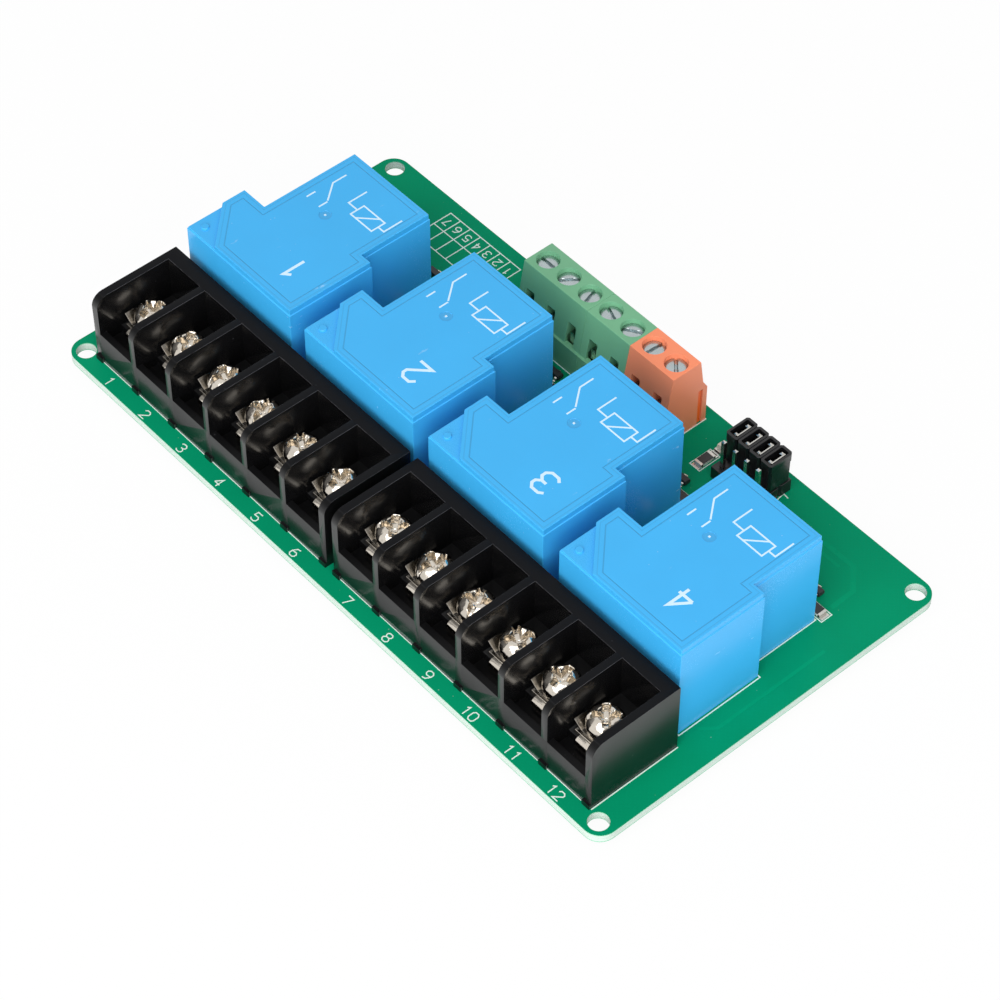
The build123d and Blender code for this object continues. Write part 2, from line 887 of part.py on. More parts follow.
def transistor(x, y):
    """Three-lead package: two leads towards the relay, one away from it."""
    low = top + smd_standoff
    body = bar(x, y, transistor_length, transistor_width, low, top + transistor_height)
    reach = transistor_width / 2 + transistor_lead_reach
    lead_high = low + smd_lead_thickness
    leads = [
        bar(x + dx, y + side * reach / 2, transistor_lead_width, reach, top, lead_high)
        for dx, side in (
            (-transistor_lead_spacing / 2, -1),
            (transistor_lead_spacing / 2, -1),
            (0, 1),
        )
    ]
    return fused([body, *leads])


def flyback_diode(x, y):
    """Moulded diode with a tab at each end."""
    low = top + smd_standoff
    body = bar(x, y, diode_length, diode_width, low, top + diode_height)
    reach = diode_length + 2 * diode_tab_reach
    return body + bar(x, y, reach, diode_tab_width, top, low + smd_lead_thickness)


def chip(x, y, along_x):
    """Chip resistor lying along X or along Y."""
    width, depth = (chip_length, chip_width) if along_x else (chip_width, chip_length)
    return bar(x, y, width, depth, top, top + chip_height)


def indicator(x, y):
    """Light-emitting diode with a raised lens."""
    body = bar(x, y, led_width, led_length, top, top + led_height)
    lens_top = top + led_height + led_lens_height
    return body + bar(x, y, led_width, led_lens_width, top + led_height, lens_top)


# Circuit board


def circuit_board():
    """Board with rounded corners, four mounting holes and a hole for every lead."""
    body = extrude(
        RectangleRounded(board_length, board_width, board_corner_radius), amount=top
    )
    tools = [
        rod(sx * mount_x, sy * mount_y, mount_hole_diameter, 0, top)
        for sx in (-1, 1)
        for sy in (-1, 1)
    ]
    tools += [lead_hole(x, contact_leg_y, contact_pin_width, contact_thickness) for x in bay_xs]
    for relay_x in relay_xs:
        for x, y, width, depth in relay_leads:
            tools.append(lead_hole(relay_x + x, relay_front + y, width, depth))
    for x in terminal_xs:
        tools.append(lead_hole(x, terminal_pin_y, terminal_pin_width, terminal_pin_width))
    for x in header_xs:
        for y in header_ys:
            tools.append(lead_hole(x, y, header_pin_width, header_pin_width))
    return body - tools


os.makedirs("parts", exist_ok=True)

save("circuit_board", circuit_board())

for n, x in enumerate(barrier_xs, 1):
    save(f"barrier_{n}_housing", barrier_housing(x))
save("load_contacts", *[load_contact(x) for x in bay_xs])
save("clamp_washers", *[clamp_washer(x) for x in bay_xs])
save("load_screws", *[load_screw(x, load_screw_turn * k) for k, x in enumerate(bay_xs)])

relay_pieces = {
    "cover": [relay_cover()],
    "base": [relay_base()],
    "yoke": [relay_yoke()],
    "core": [relay_core()],
    "bobbin": [relay_bobbin()],
    "winding": [relay_winding()],
    "armature": [relay_armature()],
    "contact_blade": [relay_blade()],
    "terminals": relay_terminals(),
}
for n, relay_x in enumerate(relay_xs, 1):
    place = Pos(relay_x, relay_front, top)
    for piece, solids in relay_pieces.items():
        save(f"relay_{n}_{piece}", *[place * solid for solid in solids])

start = terminal_row_start
for n, ways in enumerate(terminal_ways, 1):
    save(f"screw_terminal_{n}_housing", terminal_housing(start, ways))
    start += ways * terminal_pitch
save("terminal_cages", *[terminal_cage(x) for x in terminal_xs])
save(
    "terminal_screws",
    *[terminal_screw(x, terminal_screw_turn * k) for k, x in enumerate(terminal_xs)],
)
save("terminal_pins", *[terminal_pin(x) for x in terminal_xs])

save("header_insulator", header_insulator())
save("header_pins", *[header_pin(x, y) for x in header_xs for y in header_ys])
for n, x in enumerate(header_xs, 1):
    save(f"jumper_cap_{n}", jumper_cap(x))
save("jumper_clips", *[jumper_clip(x) for x in header_xs])

save("optocouplers", *[optocoupler(x, opto_y) for x in driver_xs])
save("transistors", *[transistor(x + transistor_offset, transistor_y) for x in relay_xs])
save("flyback_diodes", *[flyback_diode(x + diode_offset, transistor_y) for x in relay_xs])
save(
    "chip_resistors",
    *[chip(x + base_resistor_offset, base_resistor_y, True) for x in relay_xs],
    *[chip(x, input_resistor_y, True) for x in driver_xs],
    chip(supply_column_x, supply_resistor_y, False),
)
save(
    "status_leds",
    *[indicator(x + led_offset, transistor_y) for x in relay_xs],
    indicator(supply_column_x, supply_led_y),
)
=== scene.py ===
import math

import bmesh
import bpy
import numpy as np
from bpy.props import FloatProperty, FloatVectorProperty, PointerProperty
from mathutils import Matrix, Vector


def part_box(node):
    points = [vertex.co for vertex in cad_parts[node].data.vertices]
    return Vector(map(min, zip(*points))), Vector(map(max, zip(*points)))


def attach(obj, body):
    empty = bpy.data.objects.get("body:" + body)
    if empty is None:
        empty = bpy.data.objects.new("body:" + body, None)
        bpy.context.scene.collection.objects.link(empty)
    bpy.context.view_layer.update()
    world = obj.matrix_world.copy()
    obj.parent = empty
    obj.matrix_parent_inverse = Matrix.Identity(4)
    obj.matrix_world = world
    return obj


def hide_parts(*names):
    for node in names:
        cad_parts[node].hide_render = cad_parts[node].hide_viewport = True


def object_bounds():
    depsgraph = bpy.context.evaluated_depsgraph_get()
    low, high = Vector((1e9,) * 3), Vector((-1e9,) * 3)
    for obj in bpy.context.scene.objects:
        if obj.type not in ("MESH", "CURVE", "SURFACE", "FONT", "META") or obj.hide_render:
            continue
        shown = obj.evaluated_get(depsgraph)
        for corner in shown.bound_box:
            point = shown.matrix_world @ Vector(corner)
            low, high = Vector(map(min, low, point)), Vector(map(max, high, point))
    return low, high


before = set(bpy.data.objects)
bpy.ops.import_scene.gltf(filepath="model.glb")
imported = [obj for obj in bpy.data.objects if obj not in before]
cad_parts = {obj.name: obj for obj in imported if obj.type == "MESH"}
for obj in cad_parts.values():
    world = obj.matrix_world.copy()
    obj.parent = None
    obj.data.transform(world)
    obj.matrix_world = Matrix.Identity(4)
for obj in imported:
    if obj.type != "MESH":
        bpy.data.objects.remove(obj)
cad_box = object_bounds()

bl_info = {
    "name": "Relay module board",
    "version": (1, 0, 0),
    "blender": (4, 5, 0),
    "location": "View3D > Sidebar > Relay board",
    "description": "Finishes a relay module board around its fixed frame",
    "category": "Object",
}

MM = 0.001
ROOT = "board"
RELAYS = [
    name.removesuffix("_cover") for name in sorted(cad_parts) if name.endswith("_cover")
]
BARRIERS = ("barrier_1_housing", "barrier_2_housing")
BARRIER_PITCH = 9.5 * MM
WASHER_SEAT = 0.7 * MM
COVER_CORNER = 7.3 * MM
COVER_CORNER_DROP = 0.8 * MM
WHITE = (1, 1, 1, 1)


# Reading the frame


def box_of(node):
    """Lowest and highest corner of a node, as arrays."""
    low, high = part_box(node)
    return np.array(low), np.array(high)


def clean_copy(node, cuts=()):
    """A copy of a node's triangles with its doubles merged and its flat faces cut anew.

    Each cut is a point and a normal: its plane parts the flat faces, so that they are cut
    on from their inner corners in line with their sides.
    """
    near = 0.002 * MM
    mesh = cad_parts[node].data.copy()
    work = bmesh.new()
    work.from_mesh(mesh)
    bmesh.ops.remove_doubles(work, verts=work.verts, dist=near)
    for point, normal in cuts:
        whole = work.verts[:] + work.edges[:] + work.faces[:]
        parted = bmesh.ops.bisect_plane(
            work, geom=whole, dist=near, plane_co=point, plane_no=normal
        )
        for edge in parted["geom_cut"]:
            if isinstance(edge, bmesh.types.BMEdge):
                edge.seam = True
    bmesh.ops.dissolve_limit(
        work, angle_limit=math.radians(1.0), verts=work.verts, edges=work.edges,
        delimit={"SEAM"},
    )
    bmesh.ops.triangulate(work, faces=[face for face in work.faces if len(face.verts) > 4])
    work.to_mesh(mesh)
    work.free()
    mesh.materials.clear()
    return mesh


def groups_of(count, first, second):
    """The group number of each point, where first and second are the ends of its links.

    Every point takes the lowest number among its neighbours until nothing changes.
    """
    label = np.arange(count)
    while True:
        lowest = np.minimum(label[first], label[second])
        spread = label.copy()
        np.minimum.at(spread, first, lowest)
        np.minimum.at(spread, second, lowest)
        if (spread == label).all():
            return label
        label = spread


def points_of(mesh):
    """The vertices of a mesh as rows of x, y and z."""
    points = np.empty(len(mesh.vertices) * 3)
    mesh.vertices.foreach_get("co", points)
    return points.reshape(-1, 3)


def solid_boxes(node):
    """The box of each separate solid in a node, sorted along X and then Y."""
    mesh = clean_copy(node)
    points = points_of(mesh)
    edges = np.empty(len(mesh.edges) * 2, dtype=int)
    mesh.edges.foreach_get("vertices", edges)
    label = groups_of(len(points), *edges.reshape(-1, 2).T)
    bpy.data.meshes.remove(mesh)
    boxes = [(points[label == k].min(0), points[label == k].max(0)) for k in np.unique(label)]
    return sorted(boxes, key=lambda b: (round(b[0][0], 4), round(b[0][1], 4)))


def lead_ends(node):
    """Middle and half diagonal of every lead of a node, from the corners of the lead tips.

    Corners that lie nearer to each other than the widest lead belong to one lead.
    """
    widest = 1.7 * MM
    points = points_of(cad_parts[node].data)
    tips = np.unique(points[points[:, 2] < FLOOR + 0.1 * MM][:, :2].round(5), axis=0)
    near = np.linalg.norm(tips[:, None] - tips[None], axis=2) < widest
    label = groups_of(len(tips), *np.nonzero(near))
    corners = [tips[label == k] for k in np.unique(label)]
    return [((c.min(0) + c.max(0)) / 2, np.linalg.norm(np.ptp(c, axis=0)) / 2) for c in corners]


def cover_rectangles():
    """The relay outline as three rectangles (x0, y0, x1, y1) from the cover's low corner."""
    points = points_of(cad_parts["relay_1_cover"].data)
    low, high = points.min(0), points.max(0)
    near = 0.02 * MM
    left_end = points[points[:, 0] < low[0] + near][:, 1].max() - low[1]
    right_end = points[points[:, 0] > high[0] - near][:, 1].max() - low[1]
    rear = points[points[:, 1] > high[1] - near][:, 0] - low[0]
    width, length = (high - low)[:2]
    return [
        (rear.min(), 0.0, rear.max(), length),
        (0.0, 0.0, rear.max(), left_end),
        (rear.min(), 0.0, width, right_end),
    ]


board_low, board_high = box_of("circuit_board")
TOP = board_high[2]
FLOOR = cad_box[0][2]
COVER_FORM = cover_rectangles()


# Mesh forms


def grid(points, around=False, ends=False):
    """Rows and columns of points as quads, closed round the columns and capped if asked."""
    rows, columns = points.shape[:2]
    index = np.arange(rows * columns).reshape(rows, columns)
    ring = np.concatenate([index, index[:, :1]], axis=1) if around else index
    quads = np.stack([ring[:-1, :-1], ring[:-1, 1:], ring[1:, 1:], ring[1:, :-1]], axis=-1)
    faces = quads.reshape(-1, 4).tolist()
    if ends:
        faces += [index[0, ::-1].tolist(), index[-1].tolist()]
    return points.reshape(-1, 3), faces


def joined(forms):
    """Several (points, faces) forms as one."""
    points = np.concatenate([form[0] for form in forms])
    starts = np.cumsum([0] + [len(form[0]) for form in forms[:-1]])
    faces = [[i + start for i in face] for start, form in zip(starts, forms) for face in form[1]]
    return points, faces


def linked(name, data):
    """A new object in the scene for a mesh, a lamp or a camera."""
    thing = bpy.data.objects.new(name, data)
    bpy.context.scene.collection.objects.link(thing)
    return thing


def mesh_of(name, form):
    """A mesh from the points and faces of a form."""
    points, faces = form
    mesh = bpy.data.meshes.new(name)
    mesh.from_pydata(np.asarray(points).tolist(), [], faces)
    return mesh


def dress(name, mesh, material, replaces, smooth_angle):
    """The object for a mesh, which rides on the board and may stand for some of its nodes."""
    mesh.materials.append(material)
    mesh.shade_smooth()
    mesh.set_sharp_from_angle(angle=math.radians(smooth_angle))
    piece = linked(name, mesh)
    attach(piece, ROOT)
    if replaces:
        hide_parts(*replaces)
    return piece


def add_piece(name, form, material, replaces=(), smooth_angle=35.0):
    """A new object from points and faces, with its seams and poles merged."""
    mesh = mesh_of(name, form)
    work = bmesh.new()
    work.from_mesh(mesh)
    bmesh.ops.remove_doubles(work, verts=work.verts, dist=0.0005 * MM)
    bmesh.ops.recalc_face_normals(work, faces=work.faces)
    work.to_mesh(mesh)
    work.free()
    return dress(name, mesh, material, replaces, smooth_angle)


def round_edges(piece, radius, segments, angle=41.0, harden=True):
    """Rounds the sharp edges of a piece."""
    bevel = piece.modifiers.new("rounded_edges", "BEVEL")
    bevel.width = radius
    bevel.segments = segments
    bevel.limit_method = "ANGLE"
    bevel.angle_limit = math.radians(angle)
    bevel.miter_outer = "MITER_ARC"
    bevel.harden_normals = harden
    return piece


def soften(node, material, radius, segments, plane=False, cuts=()):
    """A copy of a node with its edges rounded, which stands for the node.

    A form whose faces are all plane is shaded flat, so that no face takes a gradient.
    """
    piece = dress(node + "_body", clean_copy(node, cuts), material, (node,), 41.0)
    if plane:
        piece.data.shade_flat()
    return round_edges(piece, radius, segments, harden=not plane)


def refinish(node, material):
    """Gives a CAD node a new material and leaves its shape."""
    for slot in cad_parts[node].material_slots:
        slot.material = material


def turned(profile, centre, steps=32, ring=False):
    """A profile of radius and height turned about an upright axis.

    x = r cos a, y = r sin a and z = h, with a from 0 to a full turn. A ring joins its last
    circle to its first one, and any other form is closed by a face at each end.
    """
    profile = np.asarray(profile, dtype=float)
    if ring:
        profile = np.concatenate([profile, profile[:1]])
    a = np.linspace(0, 2 * np.pi, steps, endpoint=False)
    radius = profile[:, :1]
    height = np.repeat(profile[:, 1:], steps, axis=1)
    points = np.stack([radius * np.cos(a), radius * np.sin(a), height], axis=-1)
    return grid(points + np.asarray(centre), around=True, ends=not ring)


def bent_strip(path, width, thickness, centre, along="y"):
    """A strip of even thickness that follows a path of distance and height.

    Each point of the path is shifted half the thickness to each side along its normal, and
    half the width to each side across the path.
    """
    path = np.asarray(path, dtype=float)
    step = np.gradient(path, axis=0)
    step /= np.linalg.norm(step, axis=1, keepdims=True)
    normal = np.stack([-step[:, 1], step[:, 0]], axis=1) * thickness / 2
    side = np.array([-1, 1, 1, -1]) * width / 2
    up = np.array([-1, -1, 1, 1])
    distance = path[:, :1] + normal[:, :1] * up
    height = path[:, 1:] + normal[:, 1:] * up
    across = np.broadcast_to(side, distance.shape)
    order = (distance, across, height) if along == "x" else (across, distance, height)
    return grid(np.stack(order, axis=-1) + np.asarray(centre), around=True, ends=True)


def arc(x, z, radius, start, end, steps):
    """Points on an arc about x and z, from one angle to another in degrees."""
    a = np.radians(np.linspace(start, end, steps))
    return np.stack([x + radius * np.cos(a), z + radius * np.sin(a)], axis=1)


def ribbon(points, width, low, high, closed=False):
    """A flat printed line of even width along points in the plane of the board.

    Each corner is mitred: it lies on the mean normal of its two runs, at half the width
    divided by the cosine of half the turn.
    """
    points = np.asarray(points, dtype=float)
    ahead = np.roll(points, -1, axis=0) - points
    behind = points - np.roll(points, 1, axis=0)
    if not closed:
        ahead[-1] = behind[-1]
        behind[0] = ahead[0]
    ahead /= np.linalg.norm(ahead, axis=1, keepdims=True)
    behind /= np.linalg.norm(behind, axis=1, keepdims=True)
    mean = ahead + behind
    mean /= np.linalg.norm(mean, axis=1, keepdims=True)
    reach = width / 2 / np.maximum((mean * ahead).sum(1, keepdims=True), 0.3)
    normal = np.stack([-mean[:, 1], mean[:, 0]], axis=1) * reach
    side = np.array([-1, 1, 1, -1])
    x = points[:, :1] + normal[:, :1] * side
    y = points[:, 1:] + normal[:, 1:] * side
    z = np.broadcast_to(np.array([low, low, high, high]), x.shape)
    corners = np.stack([x, y, z], axis=-1)
    if closed:
        return grid(np.concatenate([corners, corners[:1]]), around=True)
    return grid(corners, around=True, ends=True)


def rectangle(x0, y0, x1, y1):
    """The four corners of a rectangle."""
    return np.array([(x0, y0), (x1, y0), (x1, y1), (x0, y1)])


def stacked(sections):
    """Rectangles (x0, y0, x1, y1, z) one above the other, joined into one closed block."""
    rows = [np.column_stack([rectangle(*s[:4]), np.full(4, s[4])]) for s in sections]
    return grid(np.stack(rows), around=True, ends=True)


def block(low, high):
    """A rectangular block between two corners."""
    return stacked([(low[0], low[1], high[0], high[1], z) for z in (low[2], high[2])])


def pad(x, y, width, depth, low, high):
    """A flat block centred on x and y."""
    half = np.array([width / 2, depth / 2])
    centre = np.array([x, y])
    return block([*(centre - half), low], [*(centre + half), high])


def moulded_body(low, high, draft, waist):
    """A moulded package: widest at its waist, a share of its height up, and drafted both ways."""
    middle = low[2] + (high[2] - low[2]) * waist
    inner = (low[0] + draft, low[1] + draft, high[0] - draft, high[1] - draft)
    outer = (low[0], low[1], high[0], high[1])
    return stacked([(*inner, low[2]), (*outer, middle), (*inner, high[2])])


DOME_BEND = 0.93
DOME_FALL = 1 - math.sqrt(1 - DOME_BEND)


def screw_head(centre, radius, height, dome, turn, bars, depth, steps, core=0.0):
    """A round head with sunk bars, as a square grid wrapped onto a disc and closed below.

    The grid point (u, v) goes to x = u sqrt(1 - v v / 2), y = v sqrt(1 - u u / 2). The first
    part of the way out is the dome, which at a share o of the radius is lower by a height in
    proportion to 1 - sqrt(1 - 0.93 o o o), and the rest is the upright side. Each bar has a
    direction, a half length, a half width and a share of the depth, its walls slope over a
    short way, and its floor rises towards its ends. A cone of the core's radius, where there
    is one, is sunk in the middle.
    """
    crown, floor_rise, core_depth = 0.88, 0.35, 1.05
    slope = 0.09 * radius
    line = np.linspace(-1, 1, steps)
    u, v = np.meshgrid(line, line, indexing="ij")
    x = u * np.sqrt(1 - v * v / 2)
    y = v * np.sqrt(1 - u * u / 2)
    r = np.sqrt(x * x + y * y)
    out = np.minimum(r / crown, 1.0)
    scale = out / np.maximum(r, 1e-9) * radius
    x, y = x * scale, y * scale
    fall = np.clip((r - crown) / (1 - crown), 0, 1)
    z = height - dome * (1 - np.sqrt(1 - DOME_BEND * out**3)) / DOME_FALL
    sunk = np.zeros_like(z)
    for direction, half_length, half_width, share in bars:
        c, s = math.cos(direction), math.sin(direction)
        along = np.abs(c * x + s * y)
        across = np.abs(c * y - s * x)
        inside = np.clip((half_width - across) / slope + 0.5, 0, 1)
        inside = inside * np.clip((half_length - along) / slope + 0.5, 0, 1)
        sunk = np.maximum(sunk, inside * share * (1 - floor_rise * along / half_length))
    if core:
        sunk = np.maximum(sunk, core_depth - np.hypot(x, y) / core)
    z = (z - sunk * depth) * (1 - fall)
    c, s = math.cos(turn), math.sin(turn)
    points = np.stack([c * x - s * y, s * x + c * y, z], axis=-1) + np.asarray(centre)
    index = np.arange(steps * steps).reshape(steps, steps)
    rim = np.concatenate([index[0, :-1], index[:-1, -1], index[-1, :0:-1], index[:0:-1, 0]])
    flat, faces = grid(points)
    return flat, faces + [rim.tolist()]


def printed(forms):
    """Printed forms joined, each a hair higher than the last, so that no two lie level."""
    for k, (points, _) in enumerate(forms):
        points[points[:, 2] > points[:, 2].mean(), 2] += k * 0.0005 * MM
    return joined(forms)


DIGITS = {
    "0": [[(1, 0), (3, 0), (4, 1.2), (4, 4.8), (3, 6), (1, 6), (0, 4.8), (0, 1.2), (1, 0)]],
    "1": [[(0.8, 4.8), (2.2, 6), (2.2, 0)]],
    "2": [[(0, 4.8), (1, 6), (3, 6), (4, 5), (4, 4), (0, 0), (4, 0)]],
    "3": [[(0, 5.2), (1, 6), (3, 6), (4, 5), (4, 4), (3, 3.1), (1.6, 3.1)],
          [(2.9, 3.1), (4, 2.1), (4, 1), (3, 0), (1, 0), (0, 0.8)]],
    "4": [[(3, 0), (3, 6), (0, 1.9)], [(0, 1.9), (4, 1.9)]],
    "5": [[(3.9, 6), (0.3, 6), (0.1, 3.4), (2.9, 3.6), (4, 2.6), (4, 1), (3, 0), (1, 0), (0, 0.8)]],
    "6": [[(3.6, 6), (1.6, 5.6), (0, 3), (0, 1), (1, 0), (3, 0), (4, 1), (4, 2.4), (3, 3.4)],
          [(3, 3.4), (0.3, 3)]],
    "7": [[(0, 6), (4, 6), (1.4, 0)]],
    "8": [[(1, 3.2), (0.2, 4.2), (0.2, 5.2), (1, 6), (3, 6), (3.8, 5.2), (3.8, 4.2), (3, 3.2),
           (1, 3.2)],
          [(1, 3.2), (0, 2.1), (0, 1), (1, 0), (3, 0), (4, 1), (4, 2.1), (3, 3.2)]],
    "9": [[(0.4, 0), (2.4, 0.4), (4, 3), (4, 5), (3, 6), (1, 6), (0, 5), (0, 3.6), (1, 2.6)],
          [(1, 2.6), (3.7, 3)]],
}
DIGIT_WIDTH, DIGIT_HEIGHT, DIGIT_STEP = 4, 6, 5.6


def number(text, x, y, height, stroke, low, high, turn=0.0):
    """A plain number as printed strokes, centred on x and y and turned by an angle."""
    scale = height / DIGIT_HEIGHT
    start = -((len(text) - 1) * DIGIT_STEP + DIGIT_WIDTH) / 2
    c, s = math.cos(turn), math.sin(turn)
    forms = []
    for place, digit in enumerate(text):
        for line in DIGITS[digit]:
            points = (np.array(line) + [start + place * DIGIT_STEP, -DIGIT_HEIGHT / 2]) * scale
            points = points @ np.array([[c, s], [-s, c]]) + [x, y]
            loop = line[0] == line[-1]
            forms.append(ribbon(points[:-1] if loop else points, stroke, low, high, loop))
    return forms


# Finishes


def srgb(red, green, blue):
    """A colour written as 0 to 255 turned into the linear values that Blender keeps."""
    values = [c / 255 for c in (red, green, blue)]
    linear = [v / 12.92 if v <= 0.04045 else ((v + 0.055) / 1.055) ** 2.4 for v in values]
    return (*linear, 1.0)


def shade(colour, factor):
    """A colour made lighter or darker by a factor, and kept within 0 to 1."""
    return (*[min(max(c * factor, 0.0), 1.0) for c in colour[:3]], 1.0)


class Wire:
    """The output of a node, so that shader maths reads as an expression on values."""

    def __init__(self, graph, socket):
        self.graph = graph
        self.socket = socket

    def apply(self, operation, *values):
        return self.graph.node("ShaderNodeMath", {"operation": operation}, dict(enumerate(values)))

    def __add__(self, other):
        return self.apply("ADD", self, other)

    def __sub__(self, other):
        return self.apply("SUBTRACT", self, other)

    def __rsub__(self, other):
        return self.apply("SUBTRACT", other, self)

    def __mul__(self, other):
        return self.apply("MULTIPLY", self, other)

    def __truediv__(self, other):
        return self.apply("DIVIDE", self, other)

    def __mod__(self, other):
        return self.apply("FLOORED_MODULO", self, other)

    def __abs__(self):
        return self.apply("ABSOLUTE", self)

    def __and__(self, other):
        return self.apply("MINIMUM", self, other)

    def __or__(self, other):
        return self.apply("MAXIMUM", self, other)

    __radd__ = __add__
    __rmul__ = __mul__

    def sine(self):
        return self.apply("SINE", self)

    def rise(self, start, end):
        """0 below the start, 1 above the end and a smooth rise between, or the reverse."""
        settings = {"interpolation_type": "SMOOTHSTEP"}
        flip = start > end
        low, high = (end, start) if flip else (start, end)
        sockets = {"Value": self, "From Min": low, "From Max": high}
        sockets.update({"To Min": 1.0, "To Max": 0.0} if flip else {})
        return self.graph.node("ShaderNodeMapRange", settings, sockets)


class Graph:
    """The nodes of a material or of the sky."""

    def __init__(self, owner):
        owner.use_nodes = True
        self.tree = owner.node_tree

    def feed(self, node, sockets):
        """Sets or links the named or numbered sockets of a node."""
        for name, value in sockets.items():
            if isinstance(value, Wire):
                self.tree.links.new(value.socket, node.inputs[name])
            else:
                node.inputs[name].default_value = value

    def node(self, kind, settings, sockets, output=0):
        """A node with its settings made first and its sockets after, as the wire it gives."""
        node = self.tree.nodes.new(kind)
        for name, value in settings.items():
            setattr(node, name, value)
        self.feed(node, sockets)
        return Wire(self, node.outputs[output])

    def seen(self):
        """1 for what the camera sees, straight or mirrored or through glass, and 0 for light."""
        rays = self.tree.nodes.new("ShaderNodeLightPath").outputs
        straight = Wire(self, rays["Is Camera Ray"])
        mirrored = Wire(self, rays["Is Glossy Ray"])
        through = Wire(self, rays["Is Transmission Ray"])
        return straight | mirrored | through


class Finish(Graph):
    """A material in the making: its main shader and its places on the object."""

    def __init__(self, name, colour, fixed=None):
        self.material = bpy.data.materials.new(name)
        super().__init__(self.material)
        self.material.diffuse_color = colour
        self.tree.nodes.clear()
        self.shader = self.tree.nodes.new("ShaderNodeBsdfPrincipled")
        self.output = self.tree.nodes.new("ShaderNodeOutputMaterial")
        self.feed(self.output, {"Surface": Wire(self, self.shader.outputs[0])})
        self.feed(self.shader, {"Base Color": colour, **(fixed or {})})
        where = self.tree.nodes.new("ShaderNodeTexCoord")
        self.place = Wire(self, where.outputs["Object"])
        self.x, self.y, self.z = self.parts(self.place)
        self.nx, self.ny, self.nz = self.parts(Wire(self, where.outputs["Normal"]))

    def parts(self, vector):
        """The three parts of a vector."""
        node = self.tree.nodes.new("ShaderNodeSeparateXYZ")
        self.feed(node, {"Vector": vector})
        return [Wire(self, socket) for socket in node.outputs]

    def noise(self, size, detail=2.0, stretch=(1, 1, 1)):
        """Noise with blotches of about a size in metres, longer where the stretch is small."""
        place = self.node(
            "ShaderNodeVectorMath", {"operation": "MULTIPLY"}, {0: self.place, 1: stretch}
        )
        return self.node(
            "ShaderNodeTexNoise", {}, {"Vector": place, "Scale": 1 / size, "Detail": detail}
        )

    def specks(self, size, share):
        """Small round specks in cells of a size, each taking a share of its cell."""
        cell = self.node("ShaderNodeTexVoronoi", {}, {"Vector": self.place, "Scale": 1 / size})
        return cell.rise(share, share * 0.6)

    def mix(self, factor, first, second):
        """A colour that goes from the first to the second as the factor goes from 0 to 1."""
        sockets = {0: factor, 6: first, 7: second}
        return self.node("ShaderNodeMix", {"data_type": "RGBA"}, sockets, 2)

    def bump(self, height, distance, strength=1.0, under=None):
        """A relief whose height from 0 to 1 stands for a distance in metres."""
        sockets = {"Height": height, "Distance": distance, "Strength": strength}
        if under:
            sockets["Normal"] = under
        return self.node("ShaderNodeBump", {}, sockets)

    def done(self, **sockets):
        """Feeds the shader and gives the material."""
        names = {name.replace("_", " "): value for name, value in sockets.items()}
        self.feed(self.shader, names)
        return self.material


def moulded_plastic(name, colour, roughness, grain=0.25 * MM, relief=6e-6, spread=0.10):
    """Moulded plastic: a slight cloudiness, a fine grain, small specks and an uneven gloss."""
    f = Finish(name, colour)
    cloud = f.noise(9 * MM, 3.0)
    fine = f.noise(grain, 3.0)
    dust = f.specks(2.6 * MM, 0.05) * f.noise(6 * MM).rise(0.5, 0.62)
    base = f.mix(cloud, shade(colour, 1 - spread), shade(colour, 1 + spread))
    base = f.mix(dust * 0.35, base, (0.55, 0.55, 0.53, 1))
    return f.done(
        Base_Color=base,
        Roughness=roughness + (cloud - 0.5) * 0.12 + (fine - 0.5) * 0.10,
        Normal=f.bump(fine, relief),
    )


def plated_metal(name, colour, roughness, scratch=0.35, relief=3e-6, waves=4e-6):
    """Plated metal: a cloudy plating, fine scratches, slow waves and a little tarnish."""
    f = Finish(name, colour, {"Metallic": 1.0})
    cloud = f.noise(1.6 * MM, 3.0)
    lines = f.noise(0.22 * MM, 4.0, (1.0, 0.12, 0.4))
    pits = f.noise(0.12 * MM, 2.0)
    slow = f.noise(0.9 * MM, 1.0)
    base = f.mix(cloud, shade(colour, 0.80), shade(colour, 1.10))
    base = f.mix(cloud.rise(0.62, 0.78) * 0.3, base, shade(colour, 0.45))
    return f.done(
        Base_Color=base,
        Roughness=roughness + (lines - 0.5) * scratch * 0.4 + (cloud - 0.5) * 0.08,
        Normal=f.bump(lines * scratch + pits * (1 - scratch), relief, 1.0, f.bump(slow, waves)),
    )


def screw_finish(look, first, row, pitch, radius, top, dome):
    """Nickel-plated screw heads, with a brown painted shade in their cross and slot.

    The heads stand in a row on each side of the middle, a pitch apart. How far a point lies
    under the dome, which falls with 1 - sqrt(1 - 0.93 o o o) at a share o of the radius,
    shows that it is in the recess.
    """
    f = Finish("nickel_screws", look.nickel, {"Metallic": 1.0})
    x = (abs(f.x) - (first - pitch / 2)) % pitch - pitch / 2
    y = f.y - row
    out = ((x * x + y * y).apply("SQRT") / radius) & 1.0
    crown = top - (1 - (1 - out * out * out * DOME_BEND).apply("SQRT")) * (dome / DOME_FALL)
    sunk = (crown - f.z).rise(0.12 * MM, 0.8 * MM) * out.rise(1.0, 0.97)
    cloud = f.noise(1.1 * MM, 3.0)
    lines = f.noise(0.22 * MM, 4.0, (1.0, 0.12, 0.4))
    slow = f.noise(0.8 * MM, 1.0)
    base = f.mix(cloud, shade(look.nickel, 0.70), shade(look.nickel, 1.12))
    base = f.mix(cloud.rise(0.58, 0.74) * 0.4, base, shade(look.nickel, 0.40))
    # painted shade: the recess under the dome is darkened towards a brown
    base = f.mix(sunk * 0.85, base, look.tarnish)
    return f.done(
        Base_Color=base,
        Roughness=0.12 + (lines - 0.5) * 0.12 + sunk * 0.10,
        Normal=f.bump(lines, 4e-6, 1.0, f.bump(slow, 70e-6)),
    )


COATING_GLOSS = {"Specular IOR Level": 0.035}


